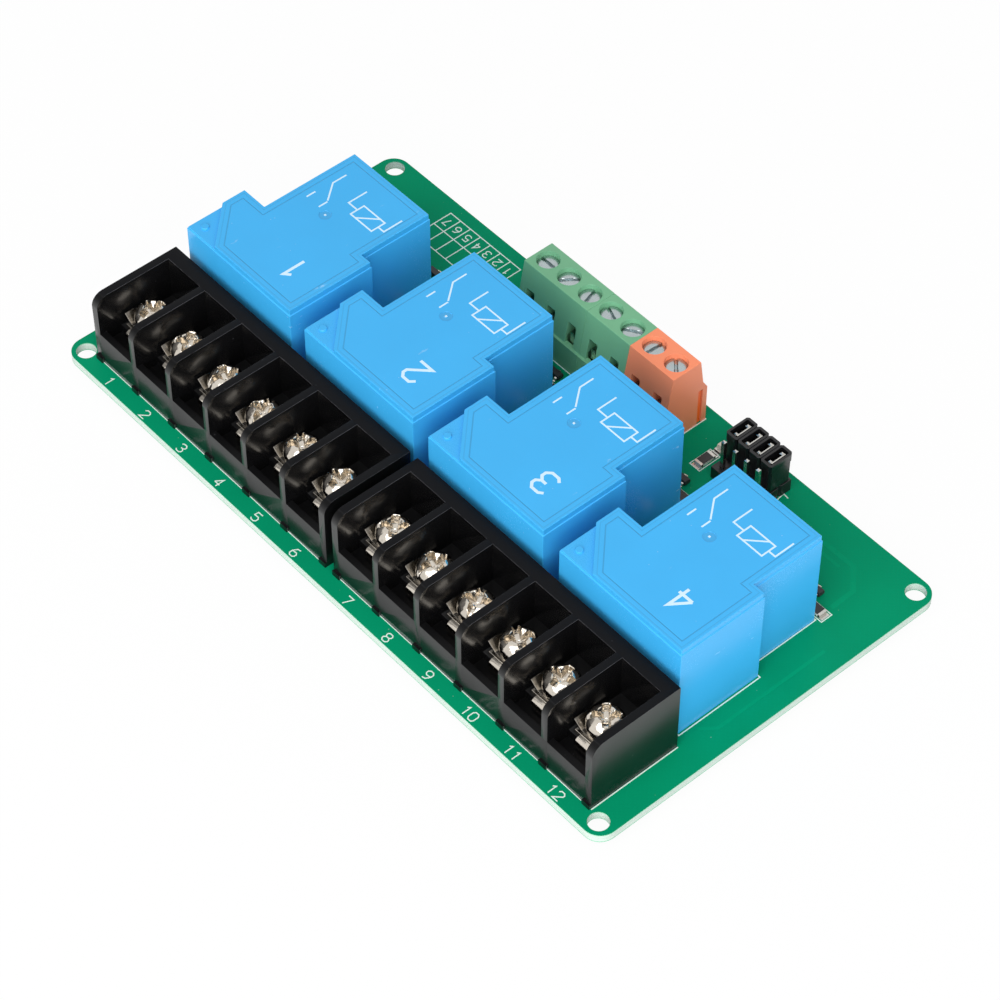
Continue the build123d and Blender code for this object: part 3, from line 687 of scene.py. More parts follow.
def board_finish(look):
    """Board: green coating on both faces, glass laminate on its cut edges and in its holes."""
    f = Finish("board_coating", look.coating, COATING_GLOSS)
    cloud = f.noise(14 * MM, 3.0)
    threads = 2 * math.pi / (0.9 * MM)
    weave = (f.x * threads).sine() * (f.y * threads).sine()
    fine = f.noise(0.35 * MM, 3.0)
    dust = f.specks(2.2 * MM, 0.05) * cloud.rise(0.45, 0.6)
    green = f.mix(cloud, shade(look.coating, 0.86), shade(look.coating, 1.12))
    green = f.mix(weave.rise(0.2, 1.0) * 0.06, green, shade(look.coating, 1.5))
    green = f.mix(dust * 0.4, green, (0.6, 0.66, 0.6, 1))
    layers = f.noise(0.25 * MM, 3.0, (0.08, 0.08, 1.0))
    glass = f.mix(layers, shade(look.laminate, 0.78), shade(look.laminate, 1.08))
    edge = abs(f.nz).rise(0.75, 0.55)
    rim = abs(f.z - TOP / 2).rise(TOP * 0.36, TOP * 0.46)
    glass = f.mix(rim * 0.7, glass, shade(look.coating, 1.7))
    return f.done(
        Base_Color=f.mix(edge, green, glass),
        Roughness=0.30 + edge * 0.3 + (cloud - 0.5) * 0.10 + (fine - 0.5) * 0.06,
        Normal=f.bump(weave * 0.12 + fine * 0.5, 8e-6),
    )


def track_finish(look):
    """Copper tracks under the coating, a little lighter on top, with painted shade on their steep
    sides.
    """
    f = Finish("coated_tracks", shade(look.coating, 1.1), COATING_GLOSS)
    cloud = f.noise(6 * MM, 3.0)
    fine = f.noise(0.3 * MM, 3.0)
    base = f.mix(cloud, shade(look.coating, 1.02), shade(look.coating, 1.16))
    # painted shade: faces that are not level are darkened
    base = f.mix(f.nz.rise(0.96, 0.7), base, shade(look.coating, 0.35))
    return f.done(
        Base_Color=base, Roughness=0.28 + (cloud - 0.5) * 0.12, Normal=f.bump(fine, 5e-6)
    )


def legend_finish(look):
    """Screen-printed ink: nearly white, a little thin in places, with a grainy face."""
    f = Finish("legend_ink", look.legend)
    thin = f.noise(0.5 * MM, 4.0)
    fine = f.noise(0.08 * MM, 2.0)
    base = f.mix(thin.rise(0.60, 0.82) * 0.55, look.legend, shade(look.coating, 1.9))
    return f.done(
        Base_Color=base, Roughness=0.55 + (fine - 0.5) * 0.2, Normal=f.bump(fine, 6e-6)
    )


def barrier_finish(look, low, high):
    """Black moulding: dull on top, glossy on its upright faces, with a painted highlight along its
    top edges.

    The walls of the bays are glossier than the outer faces, and ripple slowly.
    """
    ledge, end_wall = 4 * MM, 1.25 * MM
    fixed = {"Specular IOR Level": 0.10, "Coat Roughness": 0.24}
    f = Finish("barrier_moulding", look.moulding, fixed)
    cloud = f.noise(5 * MM, 3.0)
    fine = f.noise(0.22 * MM, 3.0)
    wave = f.noise(4.2 * MM, 0.0)
    upright = abs(f.nz).rise(0.85, 0.35)
    inner = f.y.rise(low[1] + ledge, low[1] + ledge + MM)
    wall = abs(f.nx).rise(0.6, 0.8) | (0.0 - f.ny).rise(0.6, 0.8) * inner
    end = high[0] - end_wall
    middle = abs(f.x).rise(2.0 * MM, 2.1 * MM) * abs(f.x).rise(end + 0.05 * MM, end)
    gloss = wall * middle * f.z.rise(high[2] - 0.1 * MM, high[2] - 0.4 * MM)
    crest = f.z.rise(high[2] - 0.20 * MM, high[2] - 0.04 * MM)
    # painted highlight on the rounded top edges, in patches
    rounded = crest * f.nz.rise(0.97, 0.85) * f.nz.rise(0.1, 0.4)
    painted_shading = rounded * f.noise(1.4 * MM, 3.0).rise(0.25, 0.5)
    rub = f.specks(1.9 * MM, 0.09) * cloud.rise(0.5, 0.7)
    base = f.mix(cloud, shade(look.moulding, 0.75), shade(look.moulding, 1.3))
    # painted highlight: the crest of the top edges is made paler
    base = f.mix(crest * 0.8, base, look.moulding_edge)
    # painted highlight on the rounded top edges, and real rub specks, in pale grey
    base = f.mix(painted_shading * 0.9 + rub * 0.3, base, (0.13, 0.13, 0.14, 1))
    rough = 0.34 + (cloud - 0.5) * 0.10 + (fine - 0.5) * 0.12
    under = f.bump(fine, 8e-6)
    return f.done(
        Base_Color=base,
        Roughness=rough - gloss * 0.2,
        Coat_Weight=upright * (0.55 + cloud * 0.3),
        Normal=f.bump(wave * gloss, 20e-6, 0.7, under),
    )


def cover_finish(look, low, high, pitch):
    """Blue relay cover, with a fine engraved line that follows its outline inside its rim, darkened
    as painted shade.

    The outline is the union of three rectangles with one corner cut off, and the line lies
    where the distance inside it is even. The pattern repeats at the pitch of the relays.
    """
    f = Finish("relay_cover_moulding", look.cover, {"Specular IOR Level": 0.35})
    x = (f.x - low[0]) % pitch
    y = f.y - low[1]
    union = None
    for x0, y0, x1, y1 in COVER_FORM:
        reach = abs(x - (x0 + x1) / 2) - (x1 - x0) / 2
        reach = reach | (abs(y - (y0 + y1) / 2) - (y1 - y0) / 2)
        union = union & reach if union else reach
    inside = union | ((COVER_CORNER - x - y) * math.sqrt(0.5))
    line = abs(inside + 1.45 * MM).rise(0.13 * MM, 0.04 * MM)
    lip = abs(inside + 0.62 * MM).rise(0.10 * MM, 0.03 * MM)
    corner = high[2] - COVER_CORNER_DROP
    crown = f.nz.rise(0.6, 0.9) * f.z.rise(corner - 0.1 * MM, corner + 0.1 * MM)
    groove = (line + lip * 0.5) * crown
    cloud = f.noise(12 * MM, 3.0)
    fine = f.noise(0.20 * MM, 3.0)
    scuff = f.noise(0.9 * MM, 4.0, (1.0, 0.35, 1.0)).rise(0.66, 0.76)
    scuff = scuff * f.noise(7 * MM).rise(0.55, 0.68)
    dust = f.specks(1.5 * MM, 0.07) * cloud.rise(0.48, 0.6)
    base = f.mix(cloud, shade(look.cover, 0.93), shade(look.cover, 1.05))
    # painted shade in the engraved line and at the step of the rim
    base = f.mix(groove * 0.5, base, shade(look.cover, 0.55))
    base = f.mix(scuff * 0.35 + dust * 0.35, base, (0.62, 0.78, 0.9, 1))
    under = f.bump(fine, 5e-6)
    return f.done(
        Base_Color=base,
        Roughness=0.25 + crown * 0.07 + (cloud - 0.5) * 0.10 + (fine - 0.5) * 0.10 + scuff * 0.2,
        Normal=f.bump(0.5 - groove * 0.5, 120e-6, 0.8, under),
    )


def winding_finish(look):
    """Enamelled copper wire, wound in level turns, with painted shade between the turns."""
    f = Finish("magnet_wire", look.copper, {"Metallic": 1.0})
    turns = (f.z * (2 * math.pi / (0.16 * MM))).sine() * 0.5 + 0.5
    cloud = f.noise(1.5 * MM, 3.0)
    # painted shade between the turns of wire
    base = f.mix(turns, shade(look.copper, 0.45), look.copper)
    base = f.mix(cloud * 0.4, base, shade(look.copper, 0.7))
    return f.done(
        Base_Color=base, Roughness=0.28 + cloud * 0.12, Normal=f.bump(turns, 30e-6)
    )


def lens_finish(look):
    """Cast resin of an indicator: pale, clouded and glossy."""
    f = Finish("indicator_resin", look.resin, {"Coat Weight": 0.4, "Coat Roughness": 0.08})
    cloud = f.noise(0.5 * MM, 2.0)
    fine = f.noise(0.1 * MM, 2.0)
    base = f.mix(cloud, shade(look.resin, 0.85), shade(look.resin, 1.1))
    return f.done(Base_Color=base, Roughness=0.22 + fine * 0.1, Normal=f.bump(fine, 3e-6))


# What a user may change


class BoardLook(bpy.types.PropertyGroup):
    """Colours of the board, its mouldings and its metals."""

    coating: FloatVectorProperty(
        name="Board coating", description="Green coating of the circuit board",
        subtype="COLOR", size=4, min=0, max=1, default=srgb(4, 142, 100),
    )
    laminate: FloatVectorProperty(
        name="Laminate", description="Cut edge of the board and its holes",
        subtype="COLOR", size=4, min=0, max=1, default=srgb(200, 216, 206),
    )
    legend: FloatVectorProperty(
        name="Legend ink", description="Printed lines and numbers",
        subtype="COLOR", size=4, min=0, max=1, default=srgb(226, 240, 232),
    )
    moulding: FloatVectorProperty(
        name="Black moulding", description="Barrier blocks",
        subtype="COLOR", size=4, min=0, max=1, default=srgb(11, 11, 12),
    )
    # colour of the painted highlight along the top edges of the barrier blocks
    moulding_edge: FloatVectorProperty(
        name="Moulding edge", description="Paler top edges of the barrier blocks",
        subtype="COLOR", size=4, min=0, max=1, default=srgb(11, 12, 15),
    )
    cover: FloatVectorProperty(
        name="Relay cover", description="Blue moulded cover of each relay",
        subtype="COLOR", size=4, min=0, max=1, default=srgb(62, 174, 236),
    )
    # also the colour of the painted highlights in the gate marks and vent rings
    marking: FloatVectorProperty(
        name="Relay marking", description="Pale printing on the relay covers",
        subtype="COLOR", size=4, min=0, max=1, default=srgb(206, 232, 248),
    )
    terminal_green: FloatVectorProperty(
        name="Green terminals", description="Screw terminals for control",
        subtype="COLOR", size=4, min=0, max=1, default=srgb(110, 172, 132),
    )
    terminal_orange: FloatVectorProperty(
        name="Orange terminals", description="Screw terminals for supply",
        subtype="COLOR", size=4, min=0, max=1, default=srgb(246, 142, 102),
    )
    nickel: FloatVectorProperty(
        name="Nickel", description="Load screws, washers and contacts",
        subtype="COLOR", size=4, min=0, max=1, default=srgb(218, 210, 198),
    )
    # colour of the painted shade in the recesses of the load screws
    tarnish: FloatVectorProperty(
        name="Recess shade", description="Brown film in the recesses of the load screws",
        subtype="COLOR", size=4, min=0, max=1, default=srgb(104, 86, 62),
    )
    steel: FloatVectorProperty(
        name="Plated steel", description="Terminal screws and cages",
        subtype="COLOR", size=4, min=0, max=1, default=srgb(180, 190, 192),
    )
    tin: FloatVectorProperty(
        name="Tin", description="Pins, leads and solder",
        subtype="COLOR", size=4, min=0, max=1, default=srgb(206, 204, 198),
    )
    copper: FloatVectorProperty(
        name="Copper", description="Winding and contact blades",
        subtype="COLOR", size=4, min=0, max=1, default=srgb(196, 112, 66),
    )
    resin: FloatVectorProperty(
        name="Indicator resin", description="Lens of each indicator",
        subtype="COLOR", size=4, min=0, max=1, default=srgb(228, 224, 206),
    )


class BoardSizes(bpy.types.PropertyGroup):
    """Sizes of the edges, the printing and the solder."""

    moulding_edge: FloatProperty(
        name="Moulding edge", description="Radius of the barrier blocks' edges",
        default=0.14 * MM, min=0.02 * MM, max=0.4 * MM, unit="LENGTH",
    )
    cover_edge: FloatProperty(
        name="Cover edge", description="Radius of the relay covers' edges",
        default=0.13 * MM, min=0.02 * MM, max=0.4 * MM, unit="LENGTH",
    )
    terminal_edge: FloatProperty(
        name="Terminal edge", description="Radius of the screw terminals' edges",
        default=0.12 * MM, min=0.02 * MM, max=0.3 * MM, unit="LENGTH",
    )
    legend_line: FloatProperty(
        name="Legend line", description="Width of a printed line on the board",
        default=0.18 * MM, min=0.1 * MM, max=0.6 * MM, unit="LENGTH",
    )
    legend_height: FloatProperty(
        name="Number height", description="Height of the numbers at the load terminals",
        default=1.7 * MM, min=0.8 * MM, max=2.4 * MM, unit="LENGTH",
    )
    solder_rise: FloatProperty(
        name="Solder height", description="How far the solder climbs each lead",
        default=1.3 * MM, min=0.3 * MM, max=1.7 * MM, unit="LENGTH",
    )


class StageLook(bpy.types.PropertyGroup):
    """The floor and the light."""

    sky: FloatProperty(
        name="Sky", description="Strength of the even light from all round",
        default=0.46, min=0, max=2, subtype="FACTOR",
    )
    lamp: FloatProperty(
        name="Lamp", description="Strength of the soft lamp over the board",
        default=12.4, min=0, max=40, unit="POWER",
    )
    floor: FloatVectorProperty(
        name="Floor", description="Colour of the floor",
        subtype="COLOR", size=4, min=0, max=1, default=(0.86, 0.86, 0.86, 1),
    )


# Board and legend


def board_pieces(look, sizes):
    """The board's coating, its covered tracks and the solder round each lead under it."""
    refinish("circuit_board", board_finish(look))
    lines = [
        ([(45.5, 28.9), (51.9, 28.9), (55.4, 25.4), (55.5, 20.6)], 0.9),
        ([(37.4, 24.6), (43.4, 24.6), (46.6, 27.2), (50.6, 27.2)], 0.6),
        ([(60.8, 14.0), (60.8, -8.0), (58.9, -10.4)], 0.6),
    ]
    tracks = [
        ribbon(np.array(points) * MM, width * MM, TOP - 0.02 * MM, TOP + 0.012 * MM)
        for points, width in lines
    ]
    add_piece("coated_tracks", joined(tracks), track_finish(look))
    solder = plated_metal("solder", look.tin, 0.26, 0.1, 8e-6)
    add_piece("solder_joints", joined(solder_cones(sizes.solder_rise)), solder, smooth_angle=60.0)


def solder_cones(rise):
    """The solder round each lead under the board, as high as a rise and hollow like a flare.

    At a share t of the way down, a cone is wider than its lead in proportion to
    (1 - t) to the power of 2.2.
    """
    flare, tip = 0.55 * MM, 0.12 * MM
    nodes = ["load_contacts", "terminal_pins", "header_pins"]
    nodes += [relay + "_terminals" for relay in RELAYS]
    t = np.linspace(0, 1, 9)
    height = 0.01 * MM - rise * t
    cones = []
    for (x, y), half in [lead for node in nodes for lead in lead_ends(node)]:
        neck = half * 1.02
        radius = neck + (half + flare - neck) * (1 - t) ** 2.2
        profile = np.column_stack([radius, height])
        profile = np.concatenate([profile, [[half * 0.7, height[-1] - tip]]])
        cones.append(turned(profile, (x, y, 0.0), 24))
    return cones


def legend_pieces(look, sizes):
    """Printed lines and plain numbers on the board."""
    ink = TOP - 0.01 * MM, TOP + 0.03 * MM
    wide = sizes.legend_line
    forms = barrier_lines(sizes.legend_height, wide, ink)
    forms += relay_lines(wide, ink)
    first, last = box_of("screw_terminal_1_housing"), box_of("screw_terminal_3_housing")
    x0, y0 = first[0][:2] - 0.18 * MM
    edge = rectangle(x0, y0, last[1][0] + 0.1 * MM, last[1][1])
    forms.append(ribbon(edge, wide, *ink, closed=True))
    forms += table_lines(wide, ink)
    for a, b in solid_boxes("chip_resistors"):
        wide_way = b[0] - a[0] > b[1] - a[1]
        dx, dy = (0.75 * MM, 0.3 * MM) if wide_way else (0.3 * MM, 0.65 * MM)
        border = rectangle(a[0] - dx, a[1] - dy, b[0] + dx, b[1] + dy)
        forms.append(ribbon(border, wide * 0.8, *ink, closed=True))
    corner = box_of("header_insulator")[1][:2]
    bracket = np.array([(0.16, -3.0), (-0.32, -0.1), (-0.64, 0.0)]) * MM + corner
    tick = np.array([(-0.22, -1.4), (1.03, -1.55)]) * MM + corner
    forms += [ribbon(bracket, wide, *ink), ribbon(tick, wide, *ink)]
    add_piece("legend", printed(forms), legend_finish(look))


def barrier_lines(height, wide, ink):
    """The numbers of the load terminals, and the lines along the barrier blocks."""
    inset, length, beside = 1.4 * MM, 7.6 * MM, 0.16 * MM
    middle = (board_low[1] + box_of(BARRIERS[0])[0][1]) / 2 - 0.15 * MM
    forms = []
    for k, (a, b) in enumerate(solid_boxes("load_contacts"), 1):
        forms += number(str(k), (a[0] + b[0]) / 2, middle, height, wide, *ink)
    for node in BARRIERS:
        a, b = box_of(node)
        y = a[1] + 0.34 * MM
        for k in range(6):
            x = a[0] + inset + BARRIER_PITCH * k
            forms.append(ribbon([(x, y), (x + length, y)], wide * 0.7, *ink))
        side = b[0] + beside if a[0] > 0 else a[0] - beside
        forms.append(ribbon([(side, y), (side, b[1])], wide, *ink))
    return forms


def relay_lines(wide, ink):
    """A line round the foot of each relay."""
    middle, left, right = COVER_FORM
    x0, x3 = -0.16 * MM, right[2] + 0.33 * MM
    x1, x2 = middle[0] - 0.12 * MM, middle[2] + 0.15 * MM
    y0, y3 = 0.2 * MM, middle[3] + 0.15 * MM
    y1, y2 = left[3] + 0.12 * MM, right[3] + 0.12 * MM
    outline = np.array([
        (x3, y0), (x3, y2), (x2, y2), (x2, y3), (x1, y3), (x1, y1), (x0, y1), (x0, y0),
    ])
    corners = [box_of(relay + "_cover")[0][:2] for relay in RELAYS]
    return [ribbon(outline + corner, wide, *ink, closed=True) for corner in corners]


def table_lines(wide, ink):
    """The ruled table beside the screw terminals: a frame, a row line and its columns."""
    x0, x1 = -47.2 * MM, -29.45 * MM
    y0, y1, y2 = 24.85 * MM, 28.85 * MM, 32.6 * MM
    columns, height = 7, 1.5 * MM
    forms = [ribbon(rectangle(x0, y0, x1, y2), wide, *ink, closed=True)]
    forms.append(ribbon([(x0, y1), (x1, y1)], wide, *ink))
    step = (x1 - x0) / columns
    for k in range(1, columns):
        forms.append(ribbon([(x0 + k * step, y0), (x0 + k * step, y2)], wide, *ink))
    for k in range(columns):
        x = x0 + (k + 0.5) * step
        forms += number(str(columns - k), x, (y1 + y2) / 2, height, wide, *ink, math.pi)
    return forms


# Load terminals


def barrier_pieces(look, sizes):
    """The two barrier blocks with rounded edges."""
    finish = barrier_finish(look, box_of(BARRIERS[0])[0], box_of(BARRIERS[1])[1])
    for node in BARRIERS:
        soften(node, finish, sizes.moulding_edge, 2)


def saddle(x, y, low):
    """A clamp washer whose two sides rise beside the screw head.

    Across the washer its upper face is flat out to a line, then climbs evenly to the outer
    edge. The line is the circle of the head where that is wider than the flat middle, so
    the sides are dished round the head. The lower face stays an even way under the upper
    one, or on the plate.
    """
    middle, circle, edge = 1.96 * MM, 2.98 * MM, 3.52 * MM
    thick, least, most, slope = 0.6 * MM, 0.7 * MM, 1.30 * MM, 0.30
    share = np.array([-1, -0.8, -0.6, -0.5, -0.25, 0, 0.25, 0.5, 0.6, 0.8, 1])
    along = np.linspace(-3.0, 0.3, 21)[:, None] * MM
    flat = np.maximum(middle, np.sqrt(np.maximum(circle**2 - along**2, 0)))
    out = np.maximum(2 * np.abs(share) - 1, 0)
    across = np.sign(share) * (flat * np.minimum(2 * np.abs(share), 1) + (edge - flat) * out)
    upper = WASHER_SEAT + out * np.clip(most - slope * (along + 1.4 * MM), least, most)
    lower = np.maximum(upper - thick, 0)
    side = np.stack([across, np.broadcast_to(along, across.shape)], axis=-1)
    ring = np.concatenate([
        np.concatenate([side, upper[..., None]], axis=-1),
        np.concatenate([side, lower[..., None]], axis=-1)[:, ::-1],
    ], axis=1)
    return grid(ring + [x, y, low], around=True, ends=True)


def contact(low, high):
    """A contact: plate, rounded lip that turns down in front, leg and pin through the board."""
    x = (low[0] + high[0]) / 2
    front, back, top = low[1], high[1], high[2]
    half = (high[0] - low[0]) / 2
    path = np.concatenate([
        [(1.9, -0.42), (1.1, -0.42)], arc(1.1, -1.17, 0.75, 90, 180, 9)[1:], [(0.35, -1.95)]
    ])
    return [
        block((x - half, front + 1.2 * MM, top - 0.8 * MM), (x + half, back, top)),
        bent_strip(path * MM, 4.0 * MM, 0.7 * MM, (x, front, top)),
        block((x - 1.5 * MM, back - 0.8 * MM, TOP), (x + 1.5 * MM, back, top - 0.7 * MM)),
        block((x - 0.6 * MM, back - 0.79 * MM, low[2]), (x + 0.6 * MM, back - 0.01 * MM, TOP + MM)),
    ]


def load_terminal_pieces(look, sizes):
    """Screws, saddle washers and contacts of the twelve load terminals."""
    nickel = plated_metal("nickel_plating", look.nickel, 0.14, 0.3, 4e-6, 12e-6)
    washer_low = box_of("clamp_washers")[0][2]
    seat = washer_low + WASHER_SEAT
    radius, rise, dome = 3.05 * MM, 3.45 * MM, 2.0 * MM
    depth, core, steps = 1.9 * MM, 1.37 * MM, 72
    slot = (0.0, 3.3 * MM, 0.30 * MM, 0.60)
    cross = [(direction, 2.1 * MM, 0.52 * MM, 1.0) for direction in (0.0, math.pi / 2)]
    shaft, tip_radius, taper = 1.7 * MM, 1.4 * MM, 0.3 * MM
    boxes = solid_boxes("load_screws")
    screws, washers, contacts = [], [], []
    for k, (low, high) in enumerate(boxes):
        x, y = (low[0] + high[0]) / 2, (low[1] + high[1]) / 2
        turn = math.radians(37.0 * k)
        screws.append(screw_head(
            (x, y, seat), radius, rise, dome, turn, [slot, *cross], depth, steps, core
        ))
        tip = low[2] - seat
        shank = [(shaft, 0.0), (shaft, tip + taper), (tip_radius, tip)]
        screws.append(turned(shank, (x, y, seat), 20))
        washers.append(saddle(x, y, washer_low))
    for low, high in solid_boxes("load_contacts"):
        contacts += contact(low, high)
    first = min(abs(low[0] + high[0]) / 2 for low, high in boxes)
    finish = screw_finish(look, first, y, BARRIER_PITCH, radius, seat + rise, dome)
    add_piece(
        "load_screw_heads", joined(screws), finish, replaces=("load_screws",), smooth_angle=40.0
    )
    # painted shade: the washers take a darker copy of the nickel
    painted_shading = plated_metal("shaded_nickel_plating", shade(look.nickel, 0.26), 0.26, 0.3, 4e-6, 8e-6)
    washer = add_piece("saddle_washers", joined(washers), painted_shading, replaces=("clamp_washers",))
    round_edges(washer, 0.08 * MM, 2)
    plates = add_piece("contact_plates", joined(contacts), nickel, replaces=("load_contacts",))
    round_edges(plates, 0.1 * MM, 2)


# Relays


def relay_marks(low, ink):
    """A plain diagram of a coil and its contact, drawn from the low corner of a cover."""
    thin = 0.28 * MM

    def line(points, closed=False):
        return ribbon(np.array(points) * MM + low[:2], thin, *ink, closed)

    return [
        line(rectangle(15.6, 21.0, 20.8, 23.8), True),
        line([(16.8, 21.05), (19.6, 23.75)]),
        line([(15.55, 22.4), (13.4, 22.4), (13.4, 26.2)]),
        line([(20.85, 22.4), (22.2, 22.4), (22.2, 26.2)]),
        line([(8.2, 26.2), (8.2, 23.4), (10.8, 20.2)]),
        line([(7.9, 20.0), (7.9, 18.2)]),
        line([(11.0, 20.0), (11.0, 18.2)]),
    ]


def cover_pieces(look, sizes):
    """The four relay covers, their vent rings, gate marks and plain markings."""
    low = box_of("relay_1_cover")[0]
    high = box_of("relay_4_cover")[1]
    pitch = box_of("relay_2_cover")[0][0] - low[0]
    blue = cover_finish(look, low, high, pitch)
    ink = moulded_plastic("cover_marking", look.marking, 0.5, 0.12 * MM, 4e-6, 0.06)
    # painted shade: the gate dish takes a darker copy of the cover blue
    shaded_gate_blue = moulded_plastic("gate_mark_shaded_blue", shade(look.cover, 0.84), 0.3, 0.12 * MM, 4e-6, 0.06)
    ring = [(0.66, -0.02), (0.66, 0.22), (0.56, 0.31), (0.44, 0.28), (0.36, 0.0), (0.15, -0.02)]
    dish = [
        (1.10, -0.06), (1.10, 0.012), (1.02, 0.012), (0.93, -0.25), (0.70, -0.33),
        (0.45, -0.30), (0.36, -0.06), (0.24, -0.02), (0.05, -0.02),
    ]
    ring, dish = np.array(ring) * MM, np.array(dish) * MM
    rear_left, _, rear_right, _ = COVER_FORM[0]
    left_end, right_end = COVER_FORM[1][3], COVER_FORM[2][3]
    for k, relay in enumerate(RELAYS, 1):
        node = relay + "_cover"
        low, high = box_of(node)
        cuts = [((low[0] + x, 0, 0), (1, 0, 0)) for x in (rear_left, rear_right)]
        cuts += [((0, low[1] + y, 0), (0, 1, 0)) for y in (left_end, right_end)]
        soften(node, blue, sizes.cover_edge, 3, plane=True, cuts=cuts)
        vent = (low[0] + 2.1 * MM, low[1] + 2.1 * MM, high[2] - COVER_CORNER_DROP)
        gate = (low[0] + 13.1 * MM, low[1] + 17.8 * MM, high[2])
        add_piece(relay + "_vent_ring", turned(ring, vent), blue, smooth_angle=50.0)
        add_piece(relay + "_gate_mark", turned(dish, gate), shaded_gate_blue, smooth_angle=50.0)
        top = high[2] - 0.01 * MM, high[2] + 0.02 * MM
        marks = relay_marks(low, top) + [
            # painted highlights: pale dots in the middle of the gate mark and of the vent ring
            pad(*gate[:2], 0.36 * MM, 0.36 * MM, gate[2] - 0.05 * MM, gate[2] - 0.004 * MM),
            pad(*vent[:2], 0.3 * MM, 0.3 * MM, vent[2] - 0.03 * MM, vent[2] + 0.02 * MM),
        ]
        x, y = low[:2] + [19.2 * MM, 6.6 * MM]
        marks += number(str(k), x, y, 4.2 * MM, 0.5 * MM, *top, math.pi)
        add_piece(relay + "_marking", printed(marks), ink)


def relay_inside_pieces(look, sizes):
    """Finishes of the pieces sealed in the relays."""
    base = moulded_plastic("relay_base_moulding", srgb(26, 27, 30), 0.5)
    bobbin = moulded_plastic("bobbin_moulding", srgb(222, 218, 206), 0.45)
    iron = plated_metal("soft_iron", srgb(150, 148, 144), 0.34, 0.5)
    wire = winding_finish(look)
    copper = plated_metal("contact_copper", shade(look.copper, 1.1), 0.3, 0.5)
    tinned = plated_metal("tinned_plate", look.tin, 0.3, 0.4)
    finishes = {
        "base": base, "bobbin": bobbin, "yoke": iron, "core": iron, "armature": iron,
        "winding": wire, "contact_blade": copper, "terminals": tinned,
    }
    for relay in RELAYS:
        for piece, finish in finishes.items():
            refinish(f"{relay}_{piece}", finish)


# Control terminals and header


def terminal_pieces(look, sizes):
    """The screw terminals with rounded edges and round bores, and their screws."""
    steel = plated_metal("terminal_steel", look.steel, 0.26, 0.5, 5e-6)
    green, orange = (
        moulded_plastic(f"{name}_terminal_moulding", colour, 0.42, 0.3 * MM, 9e-6, 0.09)
        for name, colour in (("green", look.terminal_green), ("orange", look.terminal_orange))
    )
    bore = [(1.93, -2.8), (1.93, -0.10), (2.0, 0.012), (2.16, 0.012), (2.16, -2.8)]
    bore = np.array(bore) * MM
    screws = solid_boxes("terminal_screws")
    for n, plastic in enumerate((green, green, orange), 1):
        node = f"screw_terminal_{n}_housing"
        soften(node, plastic, sizes.terminal_edge, 3, plane=True)
        low, high = box_of(node)
        liners = []
        for a, b in screws:
            x, y = (a[0] + b[0]) / 2, (a[1] + b[1]) / 2
            if low[0] < x < high[0]:
                liners.append(turned(bore, (x, y, high[2]), 40, ring=True))
        add_piece(f"terminal_{n}_bores", joined(liners), plastic, smooth_angle=50.0)
    radius, rise, dome, depth, steps = 1.85 * MM, 2.2 * MM, 0.22 * MM, 0.7 * MM, 60
    slot, stem = (0.0, 2.0 * MM, 0.24 * MM, 1.0), 1.2 * MM
    heads = []
    for k, (a, b) in enumerate(screws):
        x, y = (a[0] + b[0]) / 2, (a[1] + b[1]) / 2
        seat = b[2] - rise
        turn = math.radians(53.0 * k)
        heads.append(screw_head((x, y, seat), radius, rise, dome, turn, [slot], depth, steps))
        heads.append(turned([(stem, 0.0), (stem, a[2] - seat)], (x, y, seat), 18))
    add_piece(
        "terminal_screw_heads", joined(heads), steel,
        replaces=("terminal_screws",), smooth_angle=40.0,
    )
    x, y = box_of("screw_terminal_3_housing")[1][:2]
    glow = moulded_plastic("lit_orange_moulding", srgb(255, 104, 22), 0.35, 0.3 * MM, 4e-6, 0.05)
    low = np.array([x - 0.45 * MM, y - 1.78 * MM, TOP])
    strip = block(low, low + np.array([0.2, 0.66, 7.4]) * MM)
    add_piece("groove_strip", strip, glow)
    soften("terminal_cages", steel, 0.06 * MM, 2)
    refinish("terminal_pins", pin_finish(look))


def pin_finish(look):
    """The tin of the square pins, made the first time that it is asked for."""
    name = "tinned_pins"
    return bpy.data.materials.get(name) or plated_metal(name, look.tin, 0.24)


def sleeve(x, y, sections):
    """A tube with cut corners, as rings of half width, half depth, corner cut and height.

    Each ring is joined to the next and the last one to the first.
    """
    rings = [
        [(w, d - c, z), (w - c, d, z), (c - w, d, z), (-w, d - c, z),
         (-w, c - d, z), (c - w, -d, z), (w - c, -d, z), (w, c - d, z)]
        for w, d, c, z in [*sections, sections[0]]
    ]
    return grid(np.array(rings) + [x, y, 0.0], around=True)


